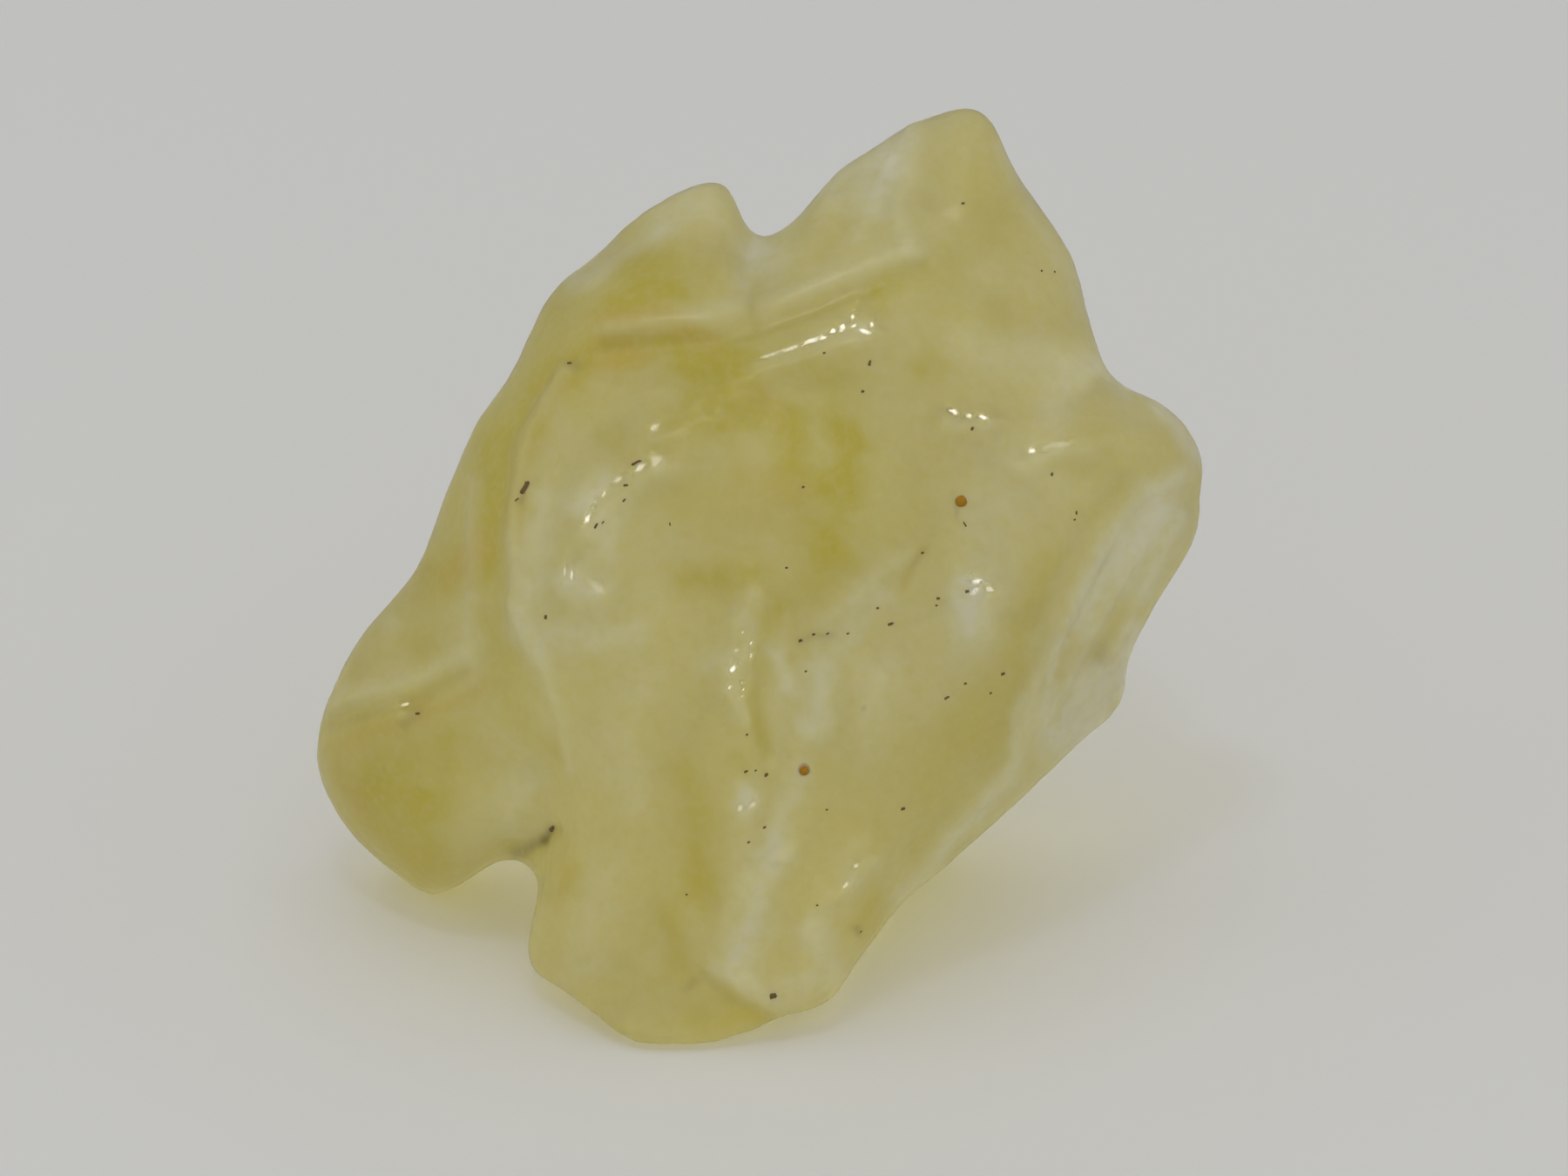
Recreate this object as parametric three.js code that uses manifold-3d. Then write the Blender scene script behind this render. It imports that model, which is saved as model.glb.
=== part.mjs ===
// Desert glass specimen: one wind-worn lump of pale natural glass, standing on its own three feet.
// Millimetres, +Z up. The origin is on the resting plane, under the middle of the lump.
//
// The lump is shaped in a face frame: u to the right and v up along the broad face, w out of it.
// The broad face then leans back, away from the front, by LEAN.

import * as THREE from 'three';
import { mergeVertices } from 'three/addons/utils/BufferGeometryUtils.js';
import Module from 'manifold-3d';

// ---------------------------------------------------------------- driving dimensions

const LEAN = THREE.MathUtils.degToRad( 30 ); // how far the broad face leans back from upright
const FLOOR_DROP = 22.9; // from the middle of the lump down to the resting plane
const SURFACE_STEPS = 19; // edge subdivisions of the starting icosahedron
const FRONT_SHARE = 0.25; // above 0, more of the surface's points go to the front face

const CORE_CENTRE = [ - 4, - 2 ]; // the round middle that the outline grows out of
const CORE_RADIUS = 20.5;
const CORE_REACH = 0.45; // share of the way to the rim where the outline starts to show
const ARC_SHARE = 0.4; // how far points along the rim follow its length rather than its angle
const CORNER_CARE = 1.6; // the larger, the closer the points round a tight corner of the rim
const RIM_SAMPLES = 1440;
const CORNER_SAMPLES = 6; // how many samples away the rim's turning is measured

const FRONT_BLUNTNESS = 3.1; // 2 is an ellipse in section, more is a squarer rim
const BACK_BLUNTNESS = 2.6;
const LEAST_HALF = 1.2; // each side stands at least this far from the outline's plane

const FACE_HEIGHT = 8.6; // the middle of the front face above the outline's plane
const FACE_CENTRE = [ 1.5, - 2 ];
const FACE_FALL_U = 0.0105; // how fast the face drops away to the sides
const FACE_FALL_V = 0.0072; // and to the top and foot

const BACK_DEPTH = 12.2; // the middle of the back behind the outline's plane
const BACK_TAPER = 0.24; // the back is deeper towards the foot
const BACK_WAVES = 1.6; // the back is this much wavier than the front

const UNDERSIDE_GAP = 1.3; // the belly clears the resting plane by this
const BELLY_RISE = 2.2; // and by this much more in its middle
const BELLY_CENTRE = [ - 5, - 17 ];
const BELLY_SPREAD = 4;
const FOOT_DIP = 0.6; // each foot is shaped this far past the plane, then worn flat
const FOOT_SPREAD = 2.4;
const UNDERSIDE_BLEND = 1.2; // how softly the back turns into the underside
const GROUND_SPAN = 200; // the block below the resting plane, larger than the lump every way
const SAME_POINT = 1e-5;

// ---------------------------------------------------------------- the outline

// The rim of the lump as [ u, v, w ], clockwise from the top peak.
const OUTLINE = [
	[ 12.0, 26.5, - 4.2 ], [ 13.3, 25.2, - 4.2 ], [ 13.8, 23.4, - 4.1 ], [ 15.0, 21.6, - 4.0 ],
	[ 16.4, 19.6, - 3.9 ], [ 17.7, 17.5, - 3.8 ], [ 18.3, 15.0, - 3.6 ], [ 19.0, 12.5, - 3.4 ],
	[ 19.8, 10.6, - 3.4 ], [ 21.2, 9.9, - 3.3 ], [ 22.6, 9.5, - 3.2 ], [ 23.8, 8.5, - 3.1 ],
	[ 24.9, 6.7, - 3.2 ], [ 25.2, 5.4, - 3.5 ], [ 24.8, 4.1, - 3.9 ], [ 25.0, 2.7, - 4.3 ],
	[ 24.5, 1.2, - 4.8 ], [ 22.8, - 1.5, - 5.4 ], [ 21.1, - 4.6, - 6.0 ], [ 20.6, - 5.9, - 6.3 ],
	[ 20.8, - 7.0, - 6.6 ], [ 20.3, - 8.2, - 6.9 ], [ 18.6, - 9.6, - 7.3 ], [ 16.1, - 12.0, - 7.8 ],
	[ 13.0, - 14.9, - 8.2 ], [ 9.8, - 17.7, - 7.9 ], [ 8.0, - 19.1, - 6.8 ], [ 6.2, - 21.4, - 4.6 ],
	[ 4.8, - 23.3, - 2.2 ], [ 4.0, - 24.7, - 0.6 ], [ 2.5, - 25.5, 0.3 ], [ 0.6, - 25.8, 0.9 ],
	[ - 0.4, - 26.6, 1.5 ], [ - 1.8, - 27.1, 2.1 ], [ - 4.0, - 27.4, 2.4 ], [ - 7.3, - 27.4, 2.4 ],
	[ - 8.6, - 26.9, 1.9 ], [ - 9.6, - 26.0, 1.1 ], [ - 10.7, - 25.0, 0.0 ], [ - 11.8, - 24.3, - 1.0 ],
	[ - 13.0, - 23.7, - 2.2 ], [ - 13.8, - 22.8, - 3.0 ], [ - 13.9, - 21.9, - 3.6 ],
	[ - 13.4, - 20.2, - 4.2 ], [ - 13.0, - 18.8, - 4.8 ], [ - 13.0, - 17.7, - 5.6 ],
	[ - 13.8, - 17.0, - 6.9 ], [ - 14.8, - 16.8, - 8.3 ], [ - 15.8, - 17.0, - 9.7 ],
	[ - 16.6, - 17.5, - 10.9 ], [ - 17.3, - 18.2, - 11.6 ], [ - 18.1, - 18.8, - 12.0 ],
	[ - 19.0, - 19.1, - 12.2 ], [ - 20.1, - 18.7, - 12.2 ], [ - 21.3, - 17.8, - 12.0 ],
	[ - 23.7, - 15.8, - 11.4 ], [ - 25.0, - 13.9, - 10.8 ], [ - 25.9, - 11.8, - 10.2 ],
	[ - 26.0, - 10.3, - 9.6 ], [ - 25.5, - 8.3, - 8.9 ], [ - 24.7, - 6.4, - 8.3 ], [ - 23.8, - 4.6, - 7.7 ],
	[ - 22.1, - 2.5, - 6.8 ], [ - 20.5, - 0.7, - 6.0 ], [ - 19.4, 1.5, - 5.3 ], [ - 18.6, 3.8, - 4.8 ],
	[ - 17.6, 6.2, - 4.4 ], [ - 16.6, 8.4, - 4.0 ], [ - 15.2, 10.2, - 3.8 ], [ - 14.2, 11.9, - 3.7 ],
	[ - 13.5, 13.6, - 3.7 ], [ - 12.7, 15.3, - 3.8 ], [ - 11.5, 16.6, - 3.9 ], [ - 9.5, 18.0, - 4.0 ],
	[ - 8.8, 18.9, - 4.1 ], [ - 7.6, 20.0, - 4.3 ], [ - 5.3, 21.4, - 4.5 ], [ - 3.2, 22.3, - 4.6 ],
	[ - 2.2, 22.2, - 4.5 ], [ - 1.8, 21.3, - 4.3 ], [ - 1.4, 19.7, - 3.9 ], [ - 0.6, 18.6, - 3.6 ],
	[ 0.3, 18.9, - 3.6 ], [ 2.0, 20.0, - 3.7 ], [ 2.7, 20.9, - 3.9 ], [ 3.2, 22.0, - 4.1 ],
	[ 4.2, 22.9, - 4.2 ], [ 6.1, 24.0, - 4.3 ], [ 8.2, 25.5, - 4.4 ], [ 9.8, 25.9, - 4.3 ],
	[ 11.0, 26.4, - 4.3 ],
];

// ---------------------------------------------------------------- relief of the front face

// Where the face turns down: the side to the right of the path, as it is walked, drops away by
// drop over a distance of about reach. Each path runs out past the rim at both ends. A flank with
// fade dies out between those two values of u.
const FRONT_FLANKS = [
	{
		// left flank, from the shoulder down to the inner side of the low lobe
		drop: 7.4, reach: 4.4, edge: 1.0,
		path: [
			[ - 9.0, 26.0 ], [ - 9.8, 18.0 ], [ - 10.5, 14.5 ], [ - 11.4, 11.4 ], [ - 12.7, 9.3 ],
			[ - 13.7, 7.5 ], [ - 14.2, 4.5 ], [ - 14.5, 2.0 ], [ - 14.2, - 0.4 ], [ - 14.5, - 2.2 ],
			[ - 13.6, - 4.4 ], [ - 12.6, - 6.2 ], [ - 11.6, - 9.2 ], [ - 11.3, - 11.5 ],
			[ - 12.2, - 15.2 ], [ - 12.8, - 20.0 ], [ - 14.6, - 30.0 ],
		],
	},
	{
		// right flank, a long worn facet down to the foot
		drop: 6.5, reach: 4.6, edge: 0.8,
		path: [
			[ 4.4, - 30.0 ], [ 7.2, - 20.8 ], [ 8.2, - 18.6 ], [ 10.2, - 15.5 ], [ 13.2, - 12.7 ],
			[ 14.2, - 10.6 ], [ 15.3, - 6.5 ], [ 17.3, - 2.4 ], [ 18.8, 0.6 ], [ 19.8, 2.5 ],
			[ 21.0, 3.9 ], [ 23.6, 5.3 ], [ 28.0, 7.2 ],
		],
	},
	{
		// the top steps back behind the ledge
		drop: 4.2, reach: 2.8, edge: 1.2, fade: [ 13, 6 ],
		path: [
			[ 28.0, 22.0 ], [ 8.6, 18.2 ], [ 6.0, 17.3 ], [ 3.5, 16.3 ], [ 1.2, 15.3 ],
			[ - 1.5, 14.6 ], [ - 4.0, 14.2 ], [ - 9.0, 13.8 ], [ - 24.0, 12.6 ],
		],
	},
];

// Ribs stand up (height above 0) and furrows sink in (below 0) along a path, and round off at its ends.
const FRONT_RELIEF = [
	// middle of the face
	{ name: 'middle rib', height: 0.8, width: 1.5,
		path: [ [ - 0.9, - 1.0 ], [ - 1.4, - 4.0 ], [ - 2.1, - 6.6 ], [ - 1.4, - 9.4 ], [ - 0.8, - 14.4 ] ] },
	{ name: 'long valley', height: - 1.6, width: 2.5,
		path: [ [ 6.4, - 1.6 ], [ 5.4, - 3.6 ], [ 4.0, - 5.8 ], [ 2.4, - 10.0 ], [ 0.6, - 15.5 ],
			[ - 1.0, - 19.5 ], [ - 2.2, - 23.6 ] ] },
	{ name: 'right ridge', height: 1.6, width: 2.4,
		path: [ [ 21.0, 6.2 ], [ 17.2, 1.6 ], [ 15.2, - 2.4 ], [ 13.2, - 7.0 ], [ 11.4, - 9.6 ],
			[ 8.4, - 14.0 ], [ 6.0, - 19.6 ] ] },
	// the top ledge
	{ name: 'ledge', height: 0.5, width: 1.4,
		path: [ [ - 9.4, 13.6 ], [ - 1.4, 14.7 ], [ 3.5, 16.3 ], [ 8.6, 18.2 ] ] },
	{ name: 'furrow under the ledge', height: - 1.0, width: 1.5,
		path: [ [ - 9.6, 11.8 ], [ - 5.0, 12.4 ], [ - 1.0, 12.7 ], [ 2.5, 14.2 ], [ 6.0, 15.7 ],
			[ 10.6, 16.8 ] ] },
	{ name: 'rib under the furrow', height: 0.8, width: 1.4,
		path: [ [ - 1.4, 11.2 ], [ 2.2, 12.4 ], [ 6.2, 13.8 ], [ 8.2, 14.8 ] ] },
	{ name: 'cleft of the top notch', height: - 1.3, width: 1.3,
		path: [ [ - 0.6, 20.6 ], [ - 1.1, 17.4 ], [ - 1.2, 15.4 ] ] },
	{ name: 'top left swelling', height: 1.2, width: 2.6,
		path: [ [ - 10.0, 15.6 ], [ - 6.5, 16.8 ], [ - 4.2, 18.4 ] ] },
	{ name: 'peak rib', height: 1.0, width: 2.0,
		path: [ [ 13.0, 23.6 ], [ 12.6, 20.0 ], [ 14.8, 16.6 ], [ 16.2, 12.6 ] ] },
	{ name: 'peak facet', height: 0.7, width: 1.6, path: [ [ 8.0, 24.4 ], [ 6.4, 21.6 ], [ 5.4, 18.9 ] ] },
	// left part of the face
	{ name: 'left brow', height: 0.6, width: 1.5,
		path: [ [ - 5.8, 6.4 ], [ - 8.6, 5.0 ], [ - 10.2, 3.0 ], [ - 10.8, 0.6 ] ] },
	{ name: 'left furrow', height: - 0.7, width: 1.7,
		path: [ [ - 12.6, 6.4 ], [ - 12.8, 1.6 ], [ - 12.2, - 4.0 ], [ - 9.4, - 8.6 ] ] },
	{ name: 'lower left fold', height: 1.0, width: 1.8,
		path: [ [ - 8.6, - 9.0 ], [ - 7.6, - 14.0 ], [ - 8.6, - 19.0 ], [ - 10.6, - 23.0 ] ] },
	{ name: 'olive furrow above the foot', height: - 0.9, width: 1.5,
		path: [ [ - 5.0, - 10.5 ], [ - 4.2, - 16.5 ], [ - 5.4, - 21.5 ] ] },
	{ name: 'right foot swelling', height: 1.6, width: 2.2,
		path: [ [ 4.8, - 16.6 ], [ 3.4, - 20.4 ], [ 2.0, - 23.6 ], [ 0.2, - 24.6 ] ] },
	// right part of the face
	{ name: 'right cheek', height: 1.0, width: 2.0, path: [ [ 11.6, 0.2 ], [ 11.8, - 3.4 ] ] },
	{ name: 'hollow above the cheek', height: - 0.6, width: 2.6,
		path: [ [ 8.0, 9.4 ], [ 9.4, 5.4 ], [ 8.8, 2.4 ] ] },
	{ name: 'far right brow', height: 0.5, width: 1.4, path: [ [ 14.4, 6.4 ], [ 18.4, 7.2 ] ] },
	{ name: 'right lobe', height: 1.7, width: 2.8, path: [ [ 19.4, 8.2 ], [ 22.4, 6.6 ] ] },
	// the low left lobe and the cleft that parts it from the foot
	{ name: 'low lobe', height: 4.4, width: 5.2, path: [ [ - 22.4, - 9.6 ], [ - 20.4, - 14.6 ] ] },
	{ name: 'fold over the low lobe', height: - 0.9, width: 1.4,
		path: [ [ - 25.6, - 7.6 ], [ - 22.4, - 6.7 ], [ - 19.6, - 6.0 ], [ - 16.6, - 4.6 ] ] },
	{ name: 'cleft beside the low lobe', height: - 2.6, width: 1.6,
		path: [ [ - 15.6, - 17.4 ], [ - 14.2, - 16.4 ], [ - 12.8, - 14.8 ], [ - 12.4, - 12.6 ] ] },
];

// ---------------------------------------------------------------- relief of the back

const BACK_RELIEF = [
	{ name: 'back spine', height: - 1.8, width: 3.6,
		path: [ [ 8.0, 17.0 ], [ 4.0, 8.0 ], [ 5.0, 0.0 ], [ 2.0, - 9.0 ] ] },
	{ name: 'left scallop', height: 2.0, width: 4.2, path: [ [ - 8.0, 9.0 ], [ - 11.0, 1.0 ] ] },
	{ name: 'right scallop', height: 1.8, width: 3.8, path: [ [ 15.0, 8.0 ], [ 13.6, - 2.0 ] ] },
	{ name: 'low scallop', height: 1.6, width: 3.4, path: [ [ - 9.0, - 8.0 ], [ - 6.0, - 14.0 ] ] },
	{ name: 'top scallop', height: 1.0, width: 2.8, path: [ [ - 2.0, 17.0 ], [ 1.0, 12.0 ] ] },
	{ name: 'back of the low lobe', height: - 1.2, width: 4.0,
		path: [ [ - 21.0, - 8.0 ], [ - 18.4, - 15.0 ] ] },
	{ name: 'heel', height: - 4.0, width: 6.0, path: [ [ 11.5, - 7.0 ], [ 8.6, - 15.0 ] ] },
];

// The three places that reach the resting plane, as [ u, v ].
const FEET = [ [ - 5.2, - 26.4 ], [ - 19.4, - 17.8 ], [ 8.2, - 16.4 ] ];

// Shallow waves that the wind left all over, as [ amplitude, wave along u, along v, phase ].
const WAVES = [
	[ 0.13, 0.52, 0.28, 0.4 ], [ 0.12, - 0.31, 0.61, 2.1 ], [ 0.08, 0.83, - 0.54, 4.0 ],
	[ 0.06, 0.31, 1.02, 1.2 ], [ 0.05, 1.20, 0.45, 5.3 ],
];

// ---------------------------------------------------------------- shape functions

// How far a point is from a path, on which side of it, and how far along it as a share.
function measurePath( path, u, v ) {

	let best = { distance: Infinity };
	for ( let i = 0; i < path.length - 1; i ++ ) {

		const [ au, av ] = path[ i ];
		const [ bu, bv ] = path[ i + 1 ];
		const du = bu - au;
		const dv = bv - av;
		const run = ( ( u - au ) * du + ( v - av ) * dv ) / ( du * du + dv * dv );
		const share = THREE.MathUtils.clamp( run, 0, 1 );
		const distance = Math.hypot( u - au - share * du, v - av - share * dv );
		const side = Math.sign( ( u - au ) * dv - ( v - av ) * du );
		if ( distance < best.distance ) best = { distance, side, along: ( i + share ) / ( path.length - 1 ) };

	}

	return best;

}

function ribHeight( rib, u, v ) {

	const { distance } = measurePath( rib.path, u, v );
	return rib.height * Math.exp( - ( ( distance / rib.width ) ** 2 ) );

}

// 0 at u = gone and beyond, 1 at u = whole and beyond.
function fadeBetween( u, gone, whole ) {

	return THREE.MathUtils.smootherstep( ( u - gone ) / ( whole - gone ), 0, 1 );

}

// The ground lost past a flank's edge: nothing before it, then a fall that levels out at drop.
function flankDrop( flank, u, v ) {

	const { distance, side } = measurePath( flank.path, u, v );
	const past = distance * side;
	const softPast = ( past + Math.hypot( past, flank.edge ) ) / 2;
	const strength = flank.fade ? fadeBetween( u, ...flank.fade ) : 1;
	return strength * flank.drop * ( 1 - Math.exp( - softPast / flank.reach ) );

}

function waves( u, v ) {

	let w = 0;
	for ( const [ size, alongU, alongV, phase ] of WAVES ) {

		w += size * Math.sin( alongU * u + alongV * v + phase );

	}

	return w;

}

function frontHeight( u, v ) {

	const du = u - FACE_CENTRE[ 0 ];
	const dv = v - FACE_CENTRE[ 1 ];
	let w = FACE_HEIGHT - FACE_FALL_U * du * du - FACE_FALL_V * dv * dv;
	for ( const flank of FRONT_FLANKS ) w -= flankDrop( flank, u, v );
	for ( const rib of FRONT_RELIEF ) w += ribHeight( rib, u, v );
	return w + waves( u, v );

}

function backHeight( u, v ) {

	let w = - BACK_DEPTH + BACK_TAPER * v;
	for ( const rib of BACK_RELIEF ) w += ribHeight( rib, u, v );
	return w + BACK_WAVES * waves( v, u );

}

function bell( u, v, [ centreU, centreV ], spread ) {

	return Math.exp( - ( ( u - centreU ) ** 2 + ( v - centreV ) ** 2 ) / ( 2 * spread ** 2 ) );

}

// The w at which a place is at a height above the resting plane.
function planeAt( v, height ) {

	return ( height - FLOOR_DROP - v * Math.cos( LEAN ) ) / Math.sin( LEAN );

}

function softMax( a, b, softness ) {

	return ( a + b + Math.hypot( a - b, softness ) ) / 2;

}

// ---------------------------------------------------------------- the rim as a lookup

const rimCurve = new THREE.CatmullRomCurve3( OUTLINE.map( ( p ) => new THREE.Vector3( ...p ) ), true );
const rimPoints = rimCurve.getSpacedPoints( RIM_SAMPLES ).slice( 0, RIM_SAMPLES );
const rimAngles = rimPoints.map( ( p ) => Math.atan2( p.x - CORE_CENTRE[ 0 ], p.y - CORE_CENTRE[ 1 ] ) );

// The length walked to each rim sample, with the corners counted longer than they are.
function weighRim() {

	const walked = [ 0 ];
	for ( let i = 0; i < RIM_SAMPLES; i ++ ) {

		const before = rimPoints[ ( i + RIM_SAMPLES - CORNER_SAMPLES ) % RIM_SAMPLES ];
		const here = rimPoints[ i ];
		const after = rimPoints[ ( i + CORNER_SAMPLES ) % RIM_SAMPLES ];
		const arriving = here.clone().sub( before );
		const leaving = after.clone().sub( here );
		const curvature = arriving.angleTo( leaving ) / arriving.length();
		const step = here.distanceTo( rimPoints[ ( i + 1 ) % RIM_SAMPLES ] );
		walked.push( walked[ i ] + step * Math.hypot( 1, CORNER_CARE * curvature ) );

	}

	return walked.map( ( length ) => length / walked[ RIM_SAMPLES ] );

}

const rimLengths = weighRim();

// Where each rim sample belongs round the circle, between its share of the length and of the angle.
const rimShares = rimAngles.map( ( angle, i ) => {

	const turned = THREE.MathUtils.euclideanModulo( angle - rimAngles[ 0 ], 2 * Math.PI ) / ( 2 * Math.PI );
	const nearStart = i < RIM_SAMPLES / 4 && turned > 0.5;
	const nearEnd = i > RIM_SAMPLES * 3 / 4 && turned < 0.5;
	const angleShare = turned - ( nearStart ? 1 : 0 ) + ( nearEnd ? 1 : 0 );
	return THREE.MathUtils.lerp( angleShare, rimLengths[ i ], ARC_SHARE );

} );

// A section from the middle of a side (level 1, spread 0) round to the rim (level 0, spread 1).
function section( facing, bluntness ) {

	const level = Math.abs( facing );
	const spread = Math.sqrt( Math.max( 0, 1 - level * level ) );
	const size = Math.pow( level ** bluntness + spread ** bluntness, - 1 / bluntness );
	return { level: size * level, spread: size * spread };

}

function rimAt( clockAngle ) {

	const share = THREE.MathUtils.euclideanModulo( clockAngle - rimAngles[ 0 ], 2 * Math.PI ) / ( 2 * Math.PI );
	let low = 0;
	let high = RIM_SAMPLES;
	while ( high - low > 1 ) {

		const middle = Math.floor( ( low + high ) / 2 );
		if ( rimShares[ middle ] <= share ) low = middle;
		else high = middle;

	}

	const start = rimShares[ low ];
	const end = high === RIM_SAMPLES ? 1 : rimShares[ high ];
	const mix = THREE.MathUtils.clamp( ( share - start ) / ( end - start ), 0, 1 );
	return rimPoints[ low ].clone().lerp( rimPoints[ high % RIM_SAMPLES ], mix );

}

// ---------------------------------------------------------------- the lump

// Move a point of the unit sphere to its place on the lump, in the face frame.
function shapePoint( point ) {

	const facing = ( point.z + FRONT_SHARE ) / ( 1 + FRONT_SHARE * point.z );
	const { level, spread } = section( facing, facing >= 0 ? FRONT_BLUNTNESS : BACK_BLUNTNESS );
	const clockAngle = Math.atan2( point.x, point.y );
	const rim = rimAt( clockAngle );
	const grown = THREE.MathUtils.smoothstep( spread, CORE_REACH, 1 );
	const [ coreU, coreV ] = CORE_CENTRE;
	const roundU = CORE_RADIUS * Math.sin( clockAngle );
	const roundV = CORE_RADIUS * Math.cos( clockAngle );
	const u = coreU + spread * THREE.MathUtils.lerp( roundU, rim.x - coreU, grown );
	const v = coreV + spread * THREE.MathUtils.lerp( roundV, rim.y - coreV, grown );

	if ( facing >= 0 ) {

		const rise = Math.max( frontHeight( u, v ) - rim.z, LEAST_HALF );
		return point.set( u, v, rim.z + rise * level );

	}

	const fall = Math.max( rim.z - backHeight( u, v ), LEAST_HALF );
	const w = rim.z - fall * level;
	const gap = UNDERSIDE_GAP + BELLY_RISE * bell( u, v, BELLY_CENTRE, BELLY_SPREAD );
	const clear = softMax( w, planeAt( v, gap ), UNDERSIDE_BLEND );
	const footing = FEET.reduce( ( sum, foot ) => sum + bell( u, v, foot, FOOT_SPREAD ), 0 );
	const footed = THREE.MathUtils.lerp( clear, planeAt( v, - FOOT_DIP ), Math.min( footing, 1 ) );
	return point.set( u, v, Math.min( footed, rim.z ) );

}

function makeLump() {

	const sphere = new THREE.IcosahedronGeometry( 1, SURFACE_STEPS );
	sphere.deleteAttribute( 'normal' );
	sphere.deleteAttribute( 'uv' );
	const lump = mergeVertices( sphere, SAME_POINT );
	const places = lump.getAttribute( 'position' );
	const point = new THREE.Vector3();
	for ( let i = 0; i < places.count; i ++ ) {

		point.fromBufferAttribute( places, i ).normalize();
		shapePoint( point );
		places.setXYZ( i, point.x, point.y, point.z );

	}

	// stand the face up, leaning back, with the resting plane at z = 0
	lump.rotateX( Math.PI / 2 - LEAN );
	lump.translate( 0, 0, FLOOR_DROP );
	return lump;

}

// ---------------------------------------------------------------- worn flats under the feet

const wasm = await Module();
wasm.setup();

function toSolid( geometry ) {

	const merged = mergeVertices( geometry, SAME_POINT );
	const mesh = new wasm.Mesh( {
		numProp: 3,
		vertProperties: new Float32Array( merged.getAttribute( 'position' ).array ),
		triVerts: new Uint32Array( merged.getIndex().array ),
	} );
	return new wasm.Manifold( mesh );

}

function toGeometry( solid ) {

	const mesh = solid.getMesh();
	const geometry = new THREE.BufferGeometry();
	geometry.setAttribute( 'position', new THREE.BufferAttribute( mesh.vertProperties, 3 ) );
	geometry.setIndex( new THREE.BufferAttribute( mesh.triVerts, 1 ) );
	return geometry;

}

function makeGround() {

	const ground = new THREE.BoxGeometry( GROUND_SPAN, GROUND_SPAN, GROUND_SPAN );
	ground.deleteAttribute( 'normal' );
	ground.deleteAttribute( 'uv' );
	ground.translate( 0, 0, - GROUND_SPAN / 2 );
	return ground;

}

const worn = toGeometry( toSolid( makeLump() ).subtract( toSolid( makeGround() ) ) );

// the origin goes under the middle of the lump
worn.computeBoundingBox();
const middle = worn.boundingBox.getCenter( new THREE.Vector3() );
worn.translate( - middle.x, - middle.y, 0 );
worn.computeVertexNormals();

// ---------------------------------------------------------------- the specimen

const paleGreenGlass = new THREE.MeshStandardMaterial( { color: 0xc9c48f, roughness: 0.2, metalness: 0 } );

const desertGlass = new THREE.Mesh( worn, paleGreenGlass );
desertGlass.name = 'desert_glass';

const specimen = new THREE.Group();
specimen.add( desertGlass );

export default specimen;
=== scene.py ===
"""Desert glass specimen: a wind-worn lump of pale yellow-green glass, its inclusions and its studio stage.

Lengths in the tables are millimetres in the face frame of the lump: u to the right and v up along its
broad face, w out of it. The face leans back, and the row frame stands upright under it, in metres.
"""

import math
from collections import namedtuple

import bpy
import numpy as np
from bpy.props import FloatProperty, FloatVectorProperty, IntProperty, PointerProperty
from mathutils import Matrix, Vector, noise
from mathutils.bvhtree import BVHTree


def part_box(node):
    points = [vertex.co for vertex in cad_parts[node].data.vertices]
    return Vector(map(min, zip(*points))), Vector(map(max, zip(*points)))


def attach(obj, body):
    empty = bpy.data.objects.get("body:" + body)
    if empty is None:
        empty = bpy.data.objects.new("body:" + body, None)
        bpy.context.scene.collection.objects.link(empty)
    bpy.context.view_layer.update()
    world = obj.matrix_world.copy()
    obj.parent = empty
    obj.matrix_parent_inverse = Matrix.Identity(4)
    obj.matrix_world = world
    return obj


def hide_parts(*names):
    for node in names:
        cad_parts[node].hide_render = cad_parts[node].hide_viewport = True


bl_info = {
    "name": "Desert Glass Specimen",
    "version": (1, 0, 0),
    "blender": (4, 5, 0),
    "location": "3D View > Sidebar > Desert Glass",
    "description": "Models a wind-worn lump of desert glass, its inclusions and its studio stage",
    "category": "Add Mesh",
}

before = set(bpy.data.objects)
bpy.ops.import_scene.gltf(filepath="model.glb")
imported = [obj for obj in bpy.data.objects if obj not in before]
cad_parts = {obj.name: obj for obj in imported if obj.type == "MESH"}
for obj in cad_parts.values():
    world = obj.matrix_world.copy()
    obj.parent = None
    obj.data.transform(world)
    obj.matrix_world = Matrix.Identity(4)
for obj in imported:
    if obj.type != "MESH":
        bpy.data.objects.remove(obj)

MM = 0.001
NODE = "desert_glass"

# ---------------------------------------------------------------- the face frame

LEAN = math.radians(30)
FACE_MIDDLE = Vector((0.411, -0.512, 22.9)) * MM
FACE_RIGHT = Vector((1, 0, 0))
FACE_UP = Vector((0, math.sin(LEAN), math.cos(LEAN)))
FACE_OUT = Vector((0, -math.cos(LEAN), math.sin(LEAN)))
# How much the skin looks out of the broad face: where its cells are halved, and where relief, tints and
# the hollows of the back begin to change and have changed.
FACE_LIMIT = 0.3
RELIEF_LIMITS = (-0.05, 0.35)
TINT_LIMITS = (-0.35, 0.15)
HOLLOW_LIMITS = (-0.6, 0.1)
HOLLOW_SEED = 21
OUTSIDE = 40  # further out of the face than any of the lump


def face_place(u, v, w=0.0):
    """The row-frame point at a place in the face frame, given in millimetres."""
    return FACE_MIDDLE + (FACE_RIGHT * u + FACE_UP * v + FACE_OUT * w) * MM


def face_coordinates(points):
    """The u, v and w of row-frame points, in millimetres."""
    away = (points - np.array(FACE_MIDDLE)) / MM
    return tuple(away @ np.array(axis) for axis in (FACE_RIGHT, FACE_UP, FACE_OUT))


# ---------------------------------------------------------------- where the key lamp and the camera are

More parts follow.
